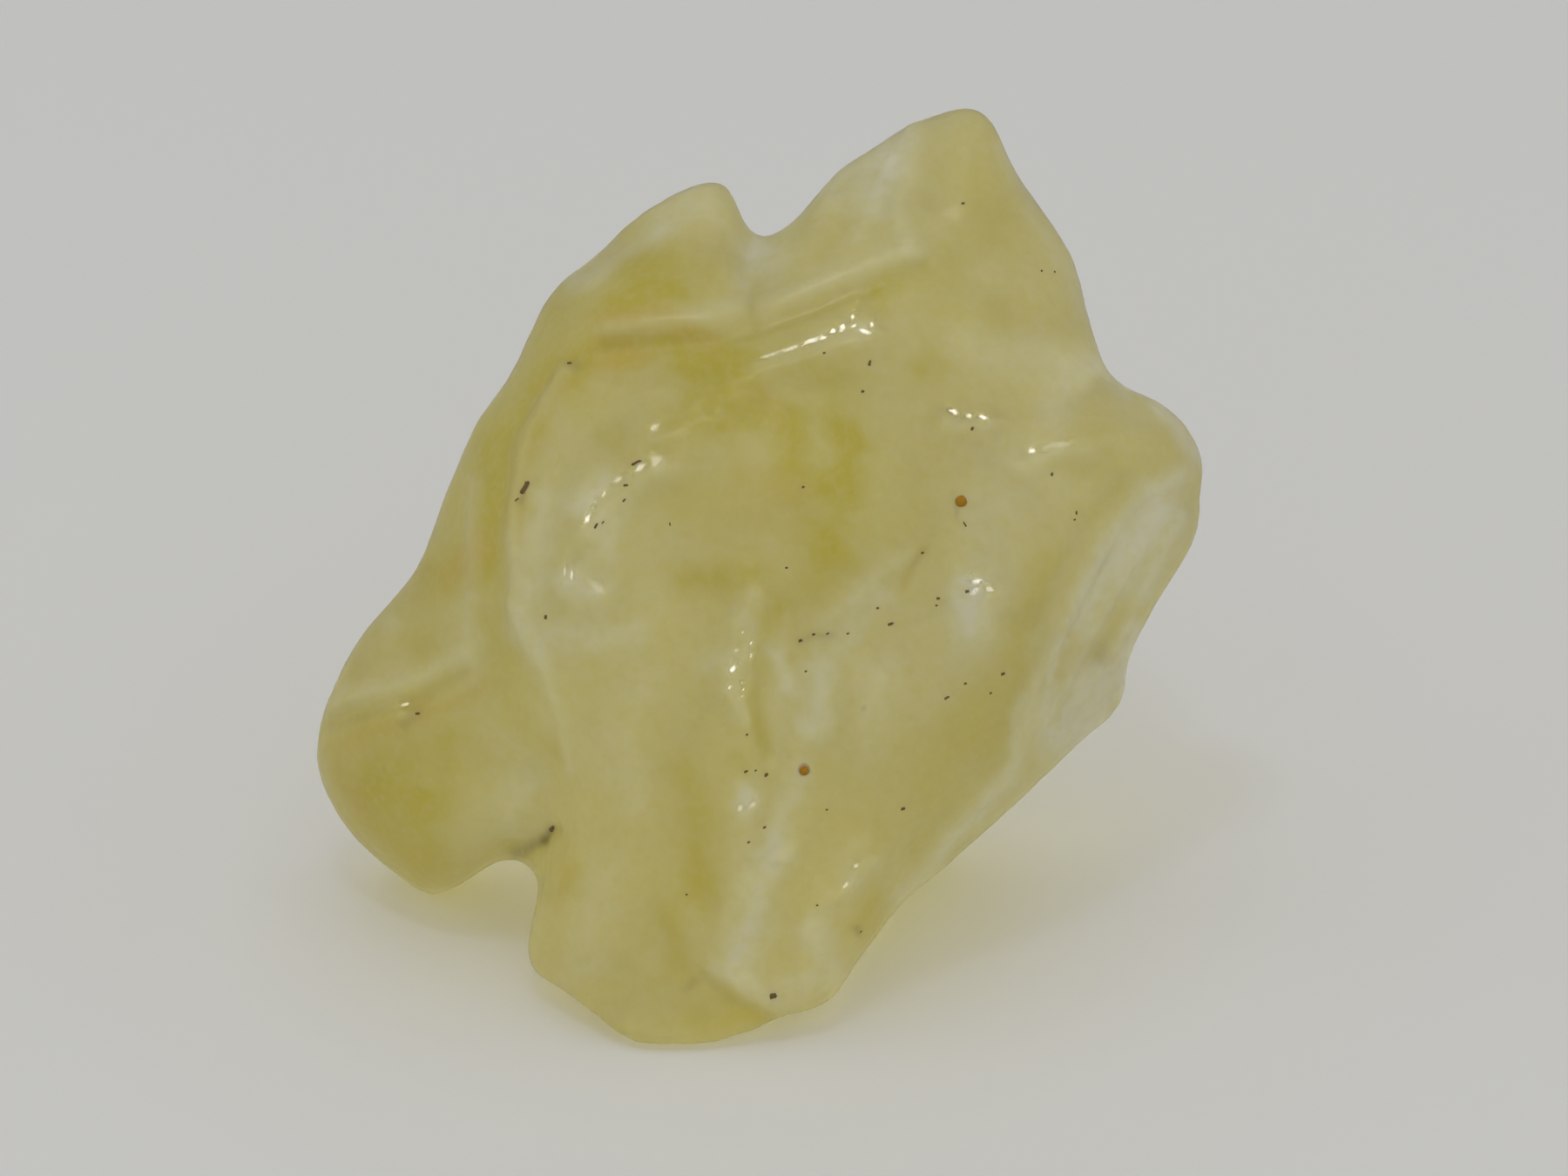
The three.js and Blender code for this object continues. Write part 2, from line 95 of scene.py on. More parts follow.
SPECIMEN_MIDDLE = Vector((0, 0, 22)) * MM
KEY_WAY = (-20, 70)  # azimuth and elevation of the small bright lamp
KEY_DISTANCE = 0.60
CAMERA_AIM = face_place(1.0, -1.25, -4.0)
CAMERA_DISTANCE = 1.50


def direction(azimuth, elevation):
    """A way out from the specimen. Azimuth 0 is in front of it and 90 is to its right."""
    turn, rise = math.radians(azimuth), math.radians(elevation)
    return Vector((math.sin(turn) * math.cos(rise), -math.cos(turn) * math.cos(rise), math.sin(rise)))


# ---------------------------------------------------------------- relief of the broad face

# Ribs stand up (height above 0) and furrows sink in (below 0) along a path, as (height, width, path).
RELIEF = {
    # the ledge across the top, and what hangs under it
    "ledge lip": (0.30, 0.55,
        [(-9.0, 13.6), (-4.0, 14.2), (-1.4, 14.7), (1.2, 15.3), (3.5, 16.3), (8.0, 18.0)]),
    "ledge groove": (-0.35, 0.6, [(-9.2, 12.4), (-3.6, 12.8), (0.0, 13.5), (3.6, 15.0), (9.0, 17.0)]),
    "bright rib": (0.35, 0.6, [(-0.4, 11.3), (1.9, 12.2), (3.5, 13.0), (5.6, 13.6)]),
    "bright rib, far end": (0.25, 0.5, [(5.2, 12.7), (6.2, 13.3)]),
    # the arc over the left of the face
    "left brow": (0.30, 0.65, [(-5.4, 5.5), (-6.6, 5.3), (-7.8, 4.5), (-9.2, 3.2), (-10.2, 1.9)]),
    "left brow bead": (0.22, 0.5, [(-6.6, 7.3), (-6.0, 7.5)]),
    "lower brow bead": (0.25, 0.6, [(-11.6, -0.9), (-10.9, -0.8)]),
    "lower brow bead, right": (0.22, 0.55, [(-9.9, -1.5), (-9.2, -1.5)]),
    # the crease along the left of the face
    "left crease": (0.30, 0.45,
        [(-11.5, 11.2), (-12.8, 9.2), (-13.7, 7.5), (-14.2, 4.5), (-14.5, 2.0), (-14.2, -0.5),
         (-14.5, -2.2), (-13.5, -4.5), (-12.5, -6.2), (-11.5, -9.2), (-11.2, -11.5)]),
    "crease shadow": (-0.28, 0.6,
        [(-12.6, 11.0), (-13.9, 9.0), (-14.9, 7.2), (-15.3, 4.4), (-15.6, 1.8), (-15.3, -0.7),
         (-15.5, -2.6), (-14.6, -5.0), (-13.6, -7.0)]),
    "outer left rib": (0.28, 0.6, [(-16.6, 4.6), (-16.7, -1.5), (-17.0, -4.5), (-16.8, -6.2)]),
    # the middle of the face
    "middle rib, top": (0.40, 0.6, [(-0.8, -1.8), (-1.5, -3.6), (-1.2, -4.6)]),
    "middle rib, foot": (0.42, 0.55, [(-1.9, -5.6), (-2.0, -7.2), (-1.2, -8.8)]),
    "middle groove": (-0.45, 0.6, [(-0.2, -5.0), (-0.5, -7.4), (-0.2, -9.0), (0.3, -10.6)]),
    "border of the valley": (0.35, 0.6, [(3.2, -3.0), (4.4, -2.1), (6.2, -0.5), (8.2, 0.7)]),
    "pale fold": (0.35, 0.8, [(-1.1, -12.9), (-1.3, -15.0), (-1.7, -18.5), (-2.3, -21.5)]),
    # the right of the face
    "right bead": (0.30, 0.55, [(10.7, 8.2), (12.6, 8.0)]),
    "right bar": (0.34, 0.6, [(14.8, 6.0), (16.4, 6.5), (18.4, 6.6)]),
    "cheek swell": (0.35, 0.9, [(12.0, -1.6), (12.0, -3.4)]),
    "foot glint": (0.30, 0.55, [(4.0, -18.8), (5.2, -17.7), (6.0, -17.0)]),
    # the crest between the face and the right flank
    "right crest": (0.34, 0.60,
        [(23.5, 5.2), (21.0, 4.0), (19.8, 2.5), (18.8, 0.5), (17.3, -2.5), (16.2, -4.5),
         (15.2, -6.5), (14.6, -8.5), (14.2, -10.5), (13.7, -12.2), (12.0, -13.5), (10.2, -15.5),
         (8.0, -18.8)]),
    "crest groove": (-0.30, 0.65,
        [(20.2, 4.6), (18.6, 2.8), (17.6, 0.6), (16.2, -2.5), (15.0, -5.2), (13.6, -8.6),
         (12.6, -11.6), (10.6, -13.6), (8.4, -16.4)]),
    "flank streak": (0.25, 0.5, [(22.4, 2.6), (20.6, 0.0), (18.6, -3.6), (17.0, -7.0)]),
    "flank furrow": (-0.25, 0.6, [(21.4, 2.6), (19.6, -0.2), (17.8, -3.6), (16.2, -7.0)]),
    "outer flank streak": (0.22, 0.4,
        [(23.8, 3.2), (22.0, -0.4), (20.4, -3.4), (18.4, -6.8), (16.4, -9.8)]),
    "outer flank furrow": (-0.20, 0.4,
        [(23.0, 2.8), (21.2, -0.6), (19.6, -3.6), (17.6, -7.0), (15.8, -9.8)]),
    # the peak and the top notch
    "peak edge": (0.35, 0.6, [(8.6, 25.0), (8.0, 22.4), (7.5, 20.0), (8.4, 17.8)]),
    "peak hollow": (-0.30, 0.8, [(6.2, 22.6), (5.8, 19.6)]),
    "peak scar": (0.25, 0.4, [(8.2, 24.6), (7.1, 23.2), (6.4, 21.5), (5.2, 18.6)]),
    "peak step": (-0.25, 0.6, [(4.6, 20.9), (4.4, 19.2), (3.2, 17.9)]),
    "notch seam": (-0.40, 0.5, [(-0.7, 18.4), (-1.2, 15.8), (-1.0, 14.2)]),
    # the low lobe
    "lobe fold": (-0.40, 0.5, [(-25.2, -9.0), (-22.5, -8.1), (-20.0, -7.6), (-17.2, -6.0)]),
    "lobe fold lip": (0.30, 0.6, [(-24.8, -8.0), (-22.4, -7.1), (-20.0, -6.6), (-17.4, -5.0)]),
    "lobe glint": (0.22, 0.5, [(-20.9, -8.4), (-20.1, -8.3)]),
    "cleft": (-0.55, 0.5, [(-14.9, -16.3), (-13.5, -16.2), (-12.3, -15.1)]),
    # the foot
    "foot lip": (0.35, 0.6, [(-3.0, -22.8), (-1.4, -23.9), (0.4, -25.0)]),
    "foot step": (-0.45, 0.55, [(-3.5, -23.6), (-2.0, -24.8), (-0.2, -25.9)]),
}

# A small worn flat that glints in the key lamp's light, and how well it is polished. One without
# polish only leans, and has a soft sheen.
Flat = namedtuple("Flat", "u v half_length half_width turn polish")

FLATS = [
    # the bright rib under the ledge
    Flat(0.2, 12.0, 0.60, 0.13, 18, 0.5), Flat(1.4, 12.4, 0.60, 0.15, 20, 0.6),
    Flat(2.5, 12.8, 0.50, 0.15, 24, 0.9), Flat(3.3, 13.1, 0.35, 0.14, 35, 1.0),
    Flat(3.8, 13.4, 0.30, 0.13, 20, 1.0), Flat(4.3, 13.6, 0.30, 0.15, 60, 1.0),
    Flat(4.9, 14.2, 0.32, 0.13, 75, 1.0), Flat(5.0, 13.7, 0.22, 0.12, 10, 0.9),
    Flat(5.6, 13.4, 0.35, 0.14, -10, 1.0), Flat(6.0, 13.8, 0.22, 0.12, 60, 1.0),
    # the brow over the left of the face
    Flat(-10.2, 4.2, 0.45, 0.22, 55, 0.0), Flat(-6.4, 7.9, 0.35, 0.25, 40, 0.5),
    Flat(-6.3, 6.0, 0.55, 0.36, 20, 0.4), Flat(-7.2, 5.6, 0.45, 0.20, 35, 0.6),
    Flat(-8.5, 4.9, 0.42, 0.17, 30, 0.4), Flat(-9.3, 4.1, 0.42, 0.16, 45, 0.6),
    Flat(-9.8, 3.5, 0.38, 0.16, 58, 0.8), Flat(-10.2, 2.7, 0.50, 0.16, 62, 0.9),
    Flat(-11.1, -0.5, 0.45, 0.12, 85, 0.6), Flat(-11.5, -0.3, 0.30, 0.10, 80, 0.4),
    Flat(-9.7, -1.2, 0.55, 0.26, -50, 0.1),
    # the middle of the face
    Flat(-1.3, -4.4, 0.40, 0.14, 80, 0.0), Flat(-1.4, -3.8, 0.15, 0.12, 60, 0.6),
    Flat(-0.9, -4.4, 0.22, 0.12, 75, 0.8), Flat(-0.9, -5.1, 0.25, 0.15, 90, 0.5),
    Flat(-1.7, -4.8, 0.25, 0.12, 60, 0.5), Flat(-1.9, -5.8, 0.42, 0.17, 70, 1.0),
    Flat(-2.1, -6.9, 0.24, 0.12, 70, 0.8), Flat(-1.4, -6.6, 0.14, 0.11, 90, 0.9),
    Flat(-1.3, -7.0, 0.14, 0.10, 90, 0.9), Flat(-1.4, -7.4, 0.14, 0.10, 90, 0.8),
    Flat(-1.5, -13.8, 0.22, 0.16, 60, 0.4), Flat(-0.8, -13.6, 0.25, 0.20, 30, 0.3),
    # the right of the face and the foot
    Flat(10.7, 8.8, 0.38, 0.18, -25, 1.0), Flat(11.6, 8.6, 0.32, 0.15, 5, 0.8),
    Flat(12.4, 8.5, 0.38, 0.15, -12, 1.0), Flat(16.6, 6.9, 0.90, 0.20, 10, 0.15),
    Flat(15.2, 6.6, 0.24, 0.19, 20, 0.9), Flat(11.5, -0.6, 0.34, 0.13, 25, 0.6),
    Flat(12.1, -0.9, 0.48, 0.20, -15, 0.8), Flat(12.7, -1.3, 0.34, 0.16, -35, 0.6),
    Flat(11.9, -1.4, 0.30, 0.14, 35, 0.5), Flat(5.1, -17.1, 0.20, 0.14, 50, 0.6),
    Flat(4.5, -18.2, 0.30, 0.17, 50, 0.5), Flat(-20.7, -7.9, 0.35, 0.13, 10, 0.7),
]
FLAT_LEVEL = 6.0  # about how far out the flats lie
FLAT_GRAIN = 0.35  # the size of the raggedness of their edges
FLAT_SEED = 5
FLAT_RIPPLE = 0.006  # and how far it ripples the flats themselves, which breaks up their glints
# How far a stage of the grinding reaches against the flat's size, how much of the skin's own slope
# it takes away, how square and how uneven its edge is, and how well it polishes.
Stage = namedtuple("Stage", "reach share squareness unevenness polish")
LEANING = Stage(3.0, 0.6, 1, 0.0, 0.4)
GRINDING = Stage(1.4, 1.0, 2, 0.8, 1.0)
UNEVENNESS_LIMITS = (0.5, 2)
FLAT_MARGINS = (0.35, 0.05)  # how far the finer and the finest cells reach beyond a flat

# Soft strokes of tint inside the glass, as (strength, width, path). Besides the glass's own tints they hold
# painted light and shade: painted shade in the olive and the dirt strokes, and painted sheen, reflections
# and highlight lines in the milky strokes.
STROKES = {
    "olive": [
        # the top left facet, the left side and the arch under the ledge, deeper partly as painted shade
        (1.1, 2, [(-4.6, 19.6), (-7.4, 18)]), (0.25, 1.7, [(-9.6, 15.6), (-5.4, 16.6)]),
        (0.35, 1.3, [(-3.4, 16.6)]), (0.6, 2.2, [(-12, 14.2), (-13.4, 11.2), (-15.2, 7.6)]),
        (0.7, 1.8, [(-16.2, 5.6), (-17.6, 1.6), (-18.8, -0.8)]),
        (0.7, 1, [(-14, 6.6), (-15.4, 3), (-16.2, -0.6)]), (0.5, 1.2, [(-21.6, -3.2), (-19.6, -4.6)]),
        (0.8, 1.1, [(-11.6, 11), (-8.8, 12.8), (-4.8, 13), (-1.6, 12)]),
        (0.65, 1.3, [(-3.6, 10.8), (-0.8, 10.6)]), (0.45, 1.1, [(-10.4, 9.2)]),
        (0.75, 1.3, [(-5.4, 7.6), (-3, 8.8), (-0.4, 8.4)]), (0.45, 1, [(-8.8, 7.4)]),
        # the middle of the face
        (0.6, 1.5, [(1.6, 12), (3.6, 10.6)]), (0.9, 1.2, [(1.4, 8.4), (1.6, 5.6)]),
        (0.7, 1.1, [(4, 8.2), (4.6, 6.2), (4.8, 3.8), (3.6, 1.4)]), (0.5, 1.3, [(1.8, 3.2), (2.8, 0.6)]),
        (0.4, 1.2, [(4.4, -0.4), (2.6, -1.6), (0.8, -1.8)]), (0.4, 1.8, [(-4.2, 3.6), (-1.2, 3)]),
        (0.7, 1, [(-4.6, -1), (-2.4, -0.6), (-0.8, -0.2)]), (0.2, 1.6, [(7.4, 5.4), (8, 2.4)]),
        (0.4, 0.6, [(0.4, -2.6), (-0.7, -4.2), (-0.8, -7.4)]), (0.45, 0.6, [(-0.4, -8.8), (-0.2, -10)]),
        (0.4, 0.7, [(-1.6, -11.2)]),
        # the top right and the right lobe
        (0.45, 2.6, [(11.4, 23.6), (12.6, 20.6)]), (0.2, 2.6, [(15.6, 18.4), (16.6, 14), (15.4, 11.6)]),
        (0.4, 2.2, [(10.6, 16.2), (10.4, 13)]), (0.15, 1, [(3.6, 19.6), (3.4, 17.8), (7.4, 18.2)]),
        (0.15, 0.8, [(1.4, 14.4), (4.4, 15.4), (6.2, 14.6), (6, 13.2)]),
        (0.15, 0.9, [(7.6, 16), (10.2, 17.6)]), (0.4, 2.4, [(18.4, 7.6), (22.2, 7.2)]),
        # along the right crest
        (0.5, 1.1, [(16.6, 0.4), (15, -2.6), (14, -5.2)]), (0.4, 1.2, [(13, -7.6), (12, -10.4)]),
        (0.35, 1.6, [(10.4, -9.6), (9.6, -12)]), (0.2, 1.1, [(9.4, -13.8), (8.2, -16.2)]),
        (0.75, 0.9, [(6, -19), (5.4, -20.6)]), (0.45, 0.8, [(4.6, -15.2), (6, -15)]),
        # the lower left, the foot and the low lobe
        (0.55, 1.1, [(-4.8, -11.6), (-3.8, -14.6), (-4, -18.2)]),
        (0.55, 0.8, [(-5.6, -19.8), (-5, -23)]), (0.5, 1, [(-4, -25.6), (-1.4, -26)]),
        (0.6, 0.8, [(-11.4, -17.4), (-11.6, -18.8)]),
        (0.55, 1, [(-15.8, -3.2), (-15.2, -6.6), (-13.8, -9.2)]),
        (0.3, 1.2, [(-17.2, -9), (-16.8, -11.6)]), (0.1, 1.6, [(-7.6, -4.6), (-7.4, -7.2)]),
        (0.05, 1.6, [(-8.2, -11.4), (-6.8, -13.2)]),
        (0.25, 0.7, [(-24.6, -9.2), (-22, -8.6), (-19.4, -8)]),
        (0.7, 2.2, [(-22.8, -11.8), (-20.4, -11)]), (1.1, 2, [(-21.8, -14.4), (-19.8, -16.4)]),
        (0.35, 0.7, [(-18.2, -10), (-18.4, -14)]),
        # more of it between those
        (0.95, 0.8, [(-8.6, 14.9), (-5.4, 15.6)]), (1.1, 0.5, [(-13.2, 9.6), (-13.7, 7.4)]),
        (0.15, 0.7, [(-10.8, 11.8)]), (1.1, 0.9, [(-4.6, 11.4)]), (1.1, 0.7, [(-2.2, 10.6), (-0.6, 11.6)]),
        (0.45, 0.9, [(-4, 9), (-1.6, 8)]), (0.95, 1.1, [(5.2, 7)]), (1.1, 1, [(3.6, 4.8)]),
        (0.65, 0.9, [(6.6, 15.6)]), (0.3, 1.4, [(13.4, 14)]), (0.45, 1, [(9, 11.4)]),
        (0.05, 0.5, [(14.6, -5), (14.2, -9)]), (1.1, 0.9, [(-19.6, -13.8)]),
        (0.2, 0.9, [(-4.4, -16.6), (-3.2, -19)]), (0.3, 0.7, [(8.4, 24.6)]),
        (0.15, 1, [(4.4, 0.6), (5.8, 2.4)]), (0.05, 0.9, [(4.7, 20.3), (3.7, 19)]),
    ],
    "milk_and_light": [
        # milky glass, and painted light: the pale right flank, sheen, reflections, the haze round the glints
        # and highlights along ridges
        # the peaks, the ledge and the top right
        (0.5, 1.9, [(-4.4, 20.2)]), (0.45, 0.7, [(-0.6, 18.2), (-1.2, 15.8)]),
        (0.5, 0.9, [(7, 23), (6.2, 20.4)]), (0.35, 0.7, [(3.4, 21.2), (5.4, 23.2), (8.6, 24.8)]),
        (0.1, 1.8, [(11.2, 24)]), (0.1, 0.9, [(2.4, 15.6), (4, 17.4), (8.4, 18.4)]),
        (0.05, 2, [(13.6, 17), (16, 16)]), (0.05, 1.2, [(5.6, 13.6), (9.4, 13.2)]),
        (0.3, 1.5, [(11.4, 12.6), (15, 12)]), (0.5, 1.3, [(17.4, 11.4), (16.6, 8.8)]),
        (0.2, 2, [(13, 6.4), (15.4, 4)]), (0.2, 2, [(21, 8.2)]),
        # the right flank and its crest
        (0.3, 0.7, [(24.2, 5.4), (22, 4.4)]), (0.7, 0.9, [(22, 3), (19.4, 0), (17.8, -3.2)]),
        (0.55, 1.2, [(23.4, 3), (21.4, -1.2)]), (1.1, 1.3, [(19, -7), (16.8, -9.8)]),
        (0.6, 0.4, [(16.8, -4.4), (15.8, -8.6)]), (0.2, 0.4, [(14.6, -7.8), (13.8, -12)]),
        (0.3, 0.5, [(13.8, -12.4), (11.2, -15), (9.2, -17.4), (7.4, -19.6)]),
        # the middle of the face and the valley
        (0.65, 1, [(11.4, -0.9), (11.2, -3.6)]), (0.5, 1, [(6.4, -1.8), (4, -4.2)]),
        (0.8, 1, [(3.2, -6.2), (2.6, -9.2)]), (0.3, 1.4, [(6, -6), (5.8, -10)]),
        (0.6, 0.8, [(1.8, -11.6), (0.9, -14.6), (0.2, -16.6)]), (0.5, 0.8, [(-0.6, -18.4), (-1.5, -22.4)]),
        (0.65, 1.1, [(2.8, -20.8), (3.4, -23.2), (1.6, -24.4)]), (0.25, 1, [(5.2, -15.4), (4.8, -17.6)]),
        (0.9, 0.8, [(-1, -13.4)]), (0.65, 0.6, [(0.6, -4.8), (1.2, -6.8)]),
        (0.25, 0.7, [(-0.8, -3.4), (-0.9, -7)]),
        # the left of the face
        (0.4, 0.8, [(-12.8, 3.6), (-13, 0), (-13.8, -3), (-12.8, -4.8)]),
        (0.7, 0.8, [(-10.8, 3.4), (-9.6, 4.6)]), (0.45, 0.8, [(-8.8, 2.6), (-9.4, 0.8)]),
        (0.55, 1, [(-11.2, -0.8), (-9.8, -1.4)]), (0.5, 1, [(-11.8, -4), (-7.4, -4)]),
        (0.3, 1.4, [(-7.4, -6.8)]), (0.25, 1.2, [(-8.8, -9.8), (-7.4, -13.2)]),
        (0.3, 1.4, [(-9.2, -17.6), (-10.4, -22.6)]), (0.35, 0.8, [(-13.8, -12.4), (-15, -14.6)]),
        (0.05, 0.9, [(-24.2, -7.6), (-20.6, -8.2)]), (0.4, 0.8, [(-21.4, -3.4)]),
        # more veils on the edges and the corners, a painted highlight along the ledge and painted light on
        # the flank
        (0.45, 0.8, [(-11, 16.2), (-6, 19.4)]), (0.45, 1, [(-1, 18.6), (0.2, 17.4)]),
        (0.3, 1.2, [(4.6, 20.4), (6.6, 22.6)]), (0.25, 0.6, [(13.4, 23.8), (15.6, 19.6), (18.2, 14.6)]),
        (0.5, 0.7, [(18.8, 11.6), (20.6, 10.4)]), (0.75, 0.6, [(22.6, 9), (24.6, 6.2)]),
        (0.1, 0.5, [(-9.2, 13.3), (-3.4, 14)]),
        (0.25, 0.9, [(23.4, 3.8), (20.4, 0.4), (18.4, -3.6), (17, -7.4)]),
        (1.1, 1, [(21.4, -4.4), (18.2, -8.4)]), (0.25, 0.6, [(17.6, 1.6), (15.8, -3.6), (14.8, -8)]),
        (0.35, 1.6, [(12.6, 3), (13, -1), (12.2, -4)]), (0.15, 1.4, [(8.6, -3), (6.6, -8)]),
        (0.45, 1.2, [(0.4, -16.2), (-0.2, -19), (-1, -22.8)]),
        (0.3, 0.6, [(-3, -23.2), (0, -24.6)]), (0.1, 1, [(2, -21.4), (4.4, -19.6)]),
        (0.35, 0.9, [(-2.8, -5.4)]), (0.2, 0.8, [(0.8, -6.8), (0.3, -10.6)]),
        (0.15, 0.6, [(-13.8, -1.2), (-14.4, -4)]), (0.05, 1, [(-22.4, -14.2), (-18.4, -16.4)]),
        (0.1, 1.2, [(-5.2, 1.6), (-6.4, -1.6)]), (0.2, 1.2, [(10.2, -5.8), (9.2, -8.2)]),
        # a painted highlight line along the thin ridge of the right crest
        (0.15, 0.28, [(14.5, -8.3), (13.7, -11.9), (11.5, -14.6), (9, -18), (7.9, -19.1)]),
    ],
    "amber": [
        # warm stains
        (0.85, 0.8, [(-9.2, 14.2), (-7.6, 14.2)]),
        (0.4, 0.9, [(-10.8, 12), (-12.4, 9.6), (-13.8, 6.2), (-14.6, 3)]), (1.1, 1.5, [(-8, 12)]),
        (1, 0.8, [(-6, 14.2), (-3.2, 12.6)]), (0.8, 0.8, [(-16.2, 1.2), (-18, -0.6)]),
        (0.3, 0.8, [(-16.2, -2.4)]), (0.15, 1.3, [(-19.4, -1.4)]), (0.15, 1, [(-23.2, -6)]),
        (0.6, 0.8, [(-24.6, -10.2), (-21.2, -9), (-16.4, -7)]),
        (0.7, 0.7, [(-24.6, -11.6), (-23.6, -14)]), (0.45, 1, [(-20.8, -16.4), (-18.8, -17.4)]),
        (0.05, 0.5, [(-12.6, -11.8), (-13, -14.4)]),
        (0.3, 0.6, [(-11.2, -15.8), (-12.2, -20.4), (-12.2, -23)]),
        (0.55, 0.9, [(-0.2, 9.6), (0.6, 8.6)]), (0.5, 1.2, [(-1.4, 5.4), (1.8, 4)]),
        (0.1, 1.2, [(-4.6, -1)]), (0.05, 0.9, [(-2.4, -11.6)]), (0.3, 0.7, [(4.8, -14.6)]),
        (0.2, 0.5, [(3, -20.6)]), (0.55, 0.4, [(7.6, -1.2), (9, 0.8)]),
        (0.05, 0.8, [(16.8, 9.2), (17.2, 5.8)]), (0.05, 1, [(11.6, 12.6), (13.6, 16.2)]),
        (0.05, 1.4, [(-5.2, -23.6)]), (0.1, 0.6, [(-2, -26.2), (2, -25)]),
        (0.05, 0.8, [(-16.6, -7.2)]), (0.05, 0.7, [(22.8, 8.2)]),
        # two small ones on the left
        (0.65, 0.7, [(-16.4, 1.8), (-17.4, 0.4)]), (0.6, 0.8, [(-12.4, -10.6)]),
    ],
    "dirt_and_shade": [
        # the cleft of the low lobe, dark partly with dirt and partly as painted shade, and smudges around
        # the grains
        (0.75, 0.3, [(-12.3, -15), (-12.9, -15.7)]),
        (0.55, 0.4, [(-12.9, -15.7), (-13.8, -16.2), (-14.5, -16.5)]),
        (0.25, 0.35, [(-11.4, 11.7), (-11.1, 11.5)]), (0.25, 0.3, [(-20.6, -8.8), (-19.9, -8.3)]),
        (0.2, 0.3, [(2, -4.3), (3.6, -3.9)]), (0.15, 0.35, [(9, 0.9), (8.5, 0.2)]),
        (0.2, 0.7, [(19, -4.6), (18.8, -5.2)]), (0.3, 0.22, [(-14, 4), (-14.3, 3.7)]),
        (0.25, 0.14, [(11, 3.3), (11.1, 2.8)]), (0.35, 0.18, [(5.65, -8.2)]),
        (0.35, 0.22, [(5.3, -20.7), (5.5, -21.2)]), (0.25, 0.3, [(-4.4, -23.8)]),
        # the second stroke here is a painted shadow line beside the ridge of the right crest
        (0.2, 0.18, [(1.3, -10.8)]), (0.15, 0.22, [(12.7, -14.9), (9.9, -17.8), (8.6, -19.3)]),
    ],
}
FACE_TINTS = {"olive": 0.00, "milk_and_light": 0.02, "amber": 0.00, "dirt_and_shade": 0.00}  # the face between its strokes
BACK_TINTS = {"olive": 0.45, "milk_and_light": 0.15, "amber": 0.10, "dirt_and_shade": 0.00}  # the sides and the back, in clouds
CLOUD_SIZE = 7.0
CLOUD_SEED = 10
CLOUD_CONTRAST = 1.5  # how much stronger or weaker than its share a tint gets in a cloud
THIN_GLASS = (1.0, 7.0)  # glass of the back is milkiest up to the first thickness and clear from the second
THIN_MILK = 0.35
SKIN_STEP = 0.05 * MM  # how far under the skin the measuring of a thickness starts
RIB_PAINTED_LIGHT = 0.7  # a rib is painted this much milkier for each millimetre that it stands up, as painted light
FURROW_PAINTED_SHADE = 0.8  # and a furrow this much more olive, as painted shade
EDGE_WOBBLE = 0.35  # how far the edges of the strokes wander


def path_distance(path, u, v):
    """How far each place is from a path."""
    nearest = np.full(u.shape, np.inf)
    ends = [np.array(point, float) for point in path]
    for start, stop in zip(ends, ends[1:] or ends):
        run = stop - start
        share = ((u - start[0]) * run[0] + (v - start[1]) * run[1]) / max(run @ run, 1e-9)
        share = np.clip(share, 0, 1)
        distance = np.hypot(u - start[0] - share * run[0], v - start[1] - share * run[1])
        nearest = np.minimum(nearest, distance)
    return nearest


def soft_line(path, width, u, v):
    """1 on a path, fading to 0 over about its width on either side."""
    return np.exp(-((path_distance(path, u, v) / width) ** 2))


def smooth_between(low, high, value):
    """0 at low and before, 1 at high and after, and a smooth rise between."""
    share = np.clip((value - low) / (high - low), 0, 1)
    return share * share * (3 - 2 * share)


# ---------------------------------------------------------------- grains and inclusions

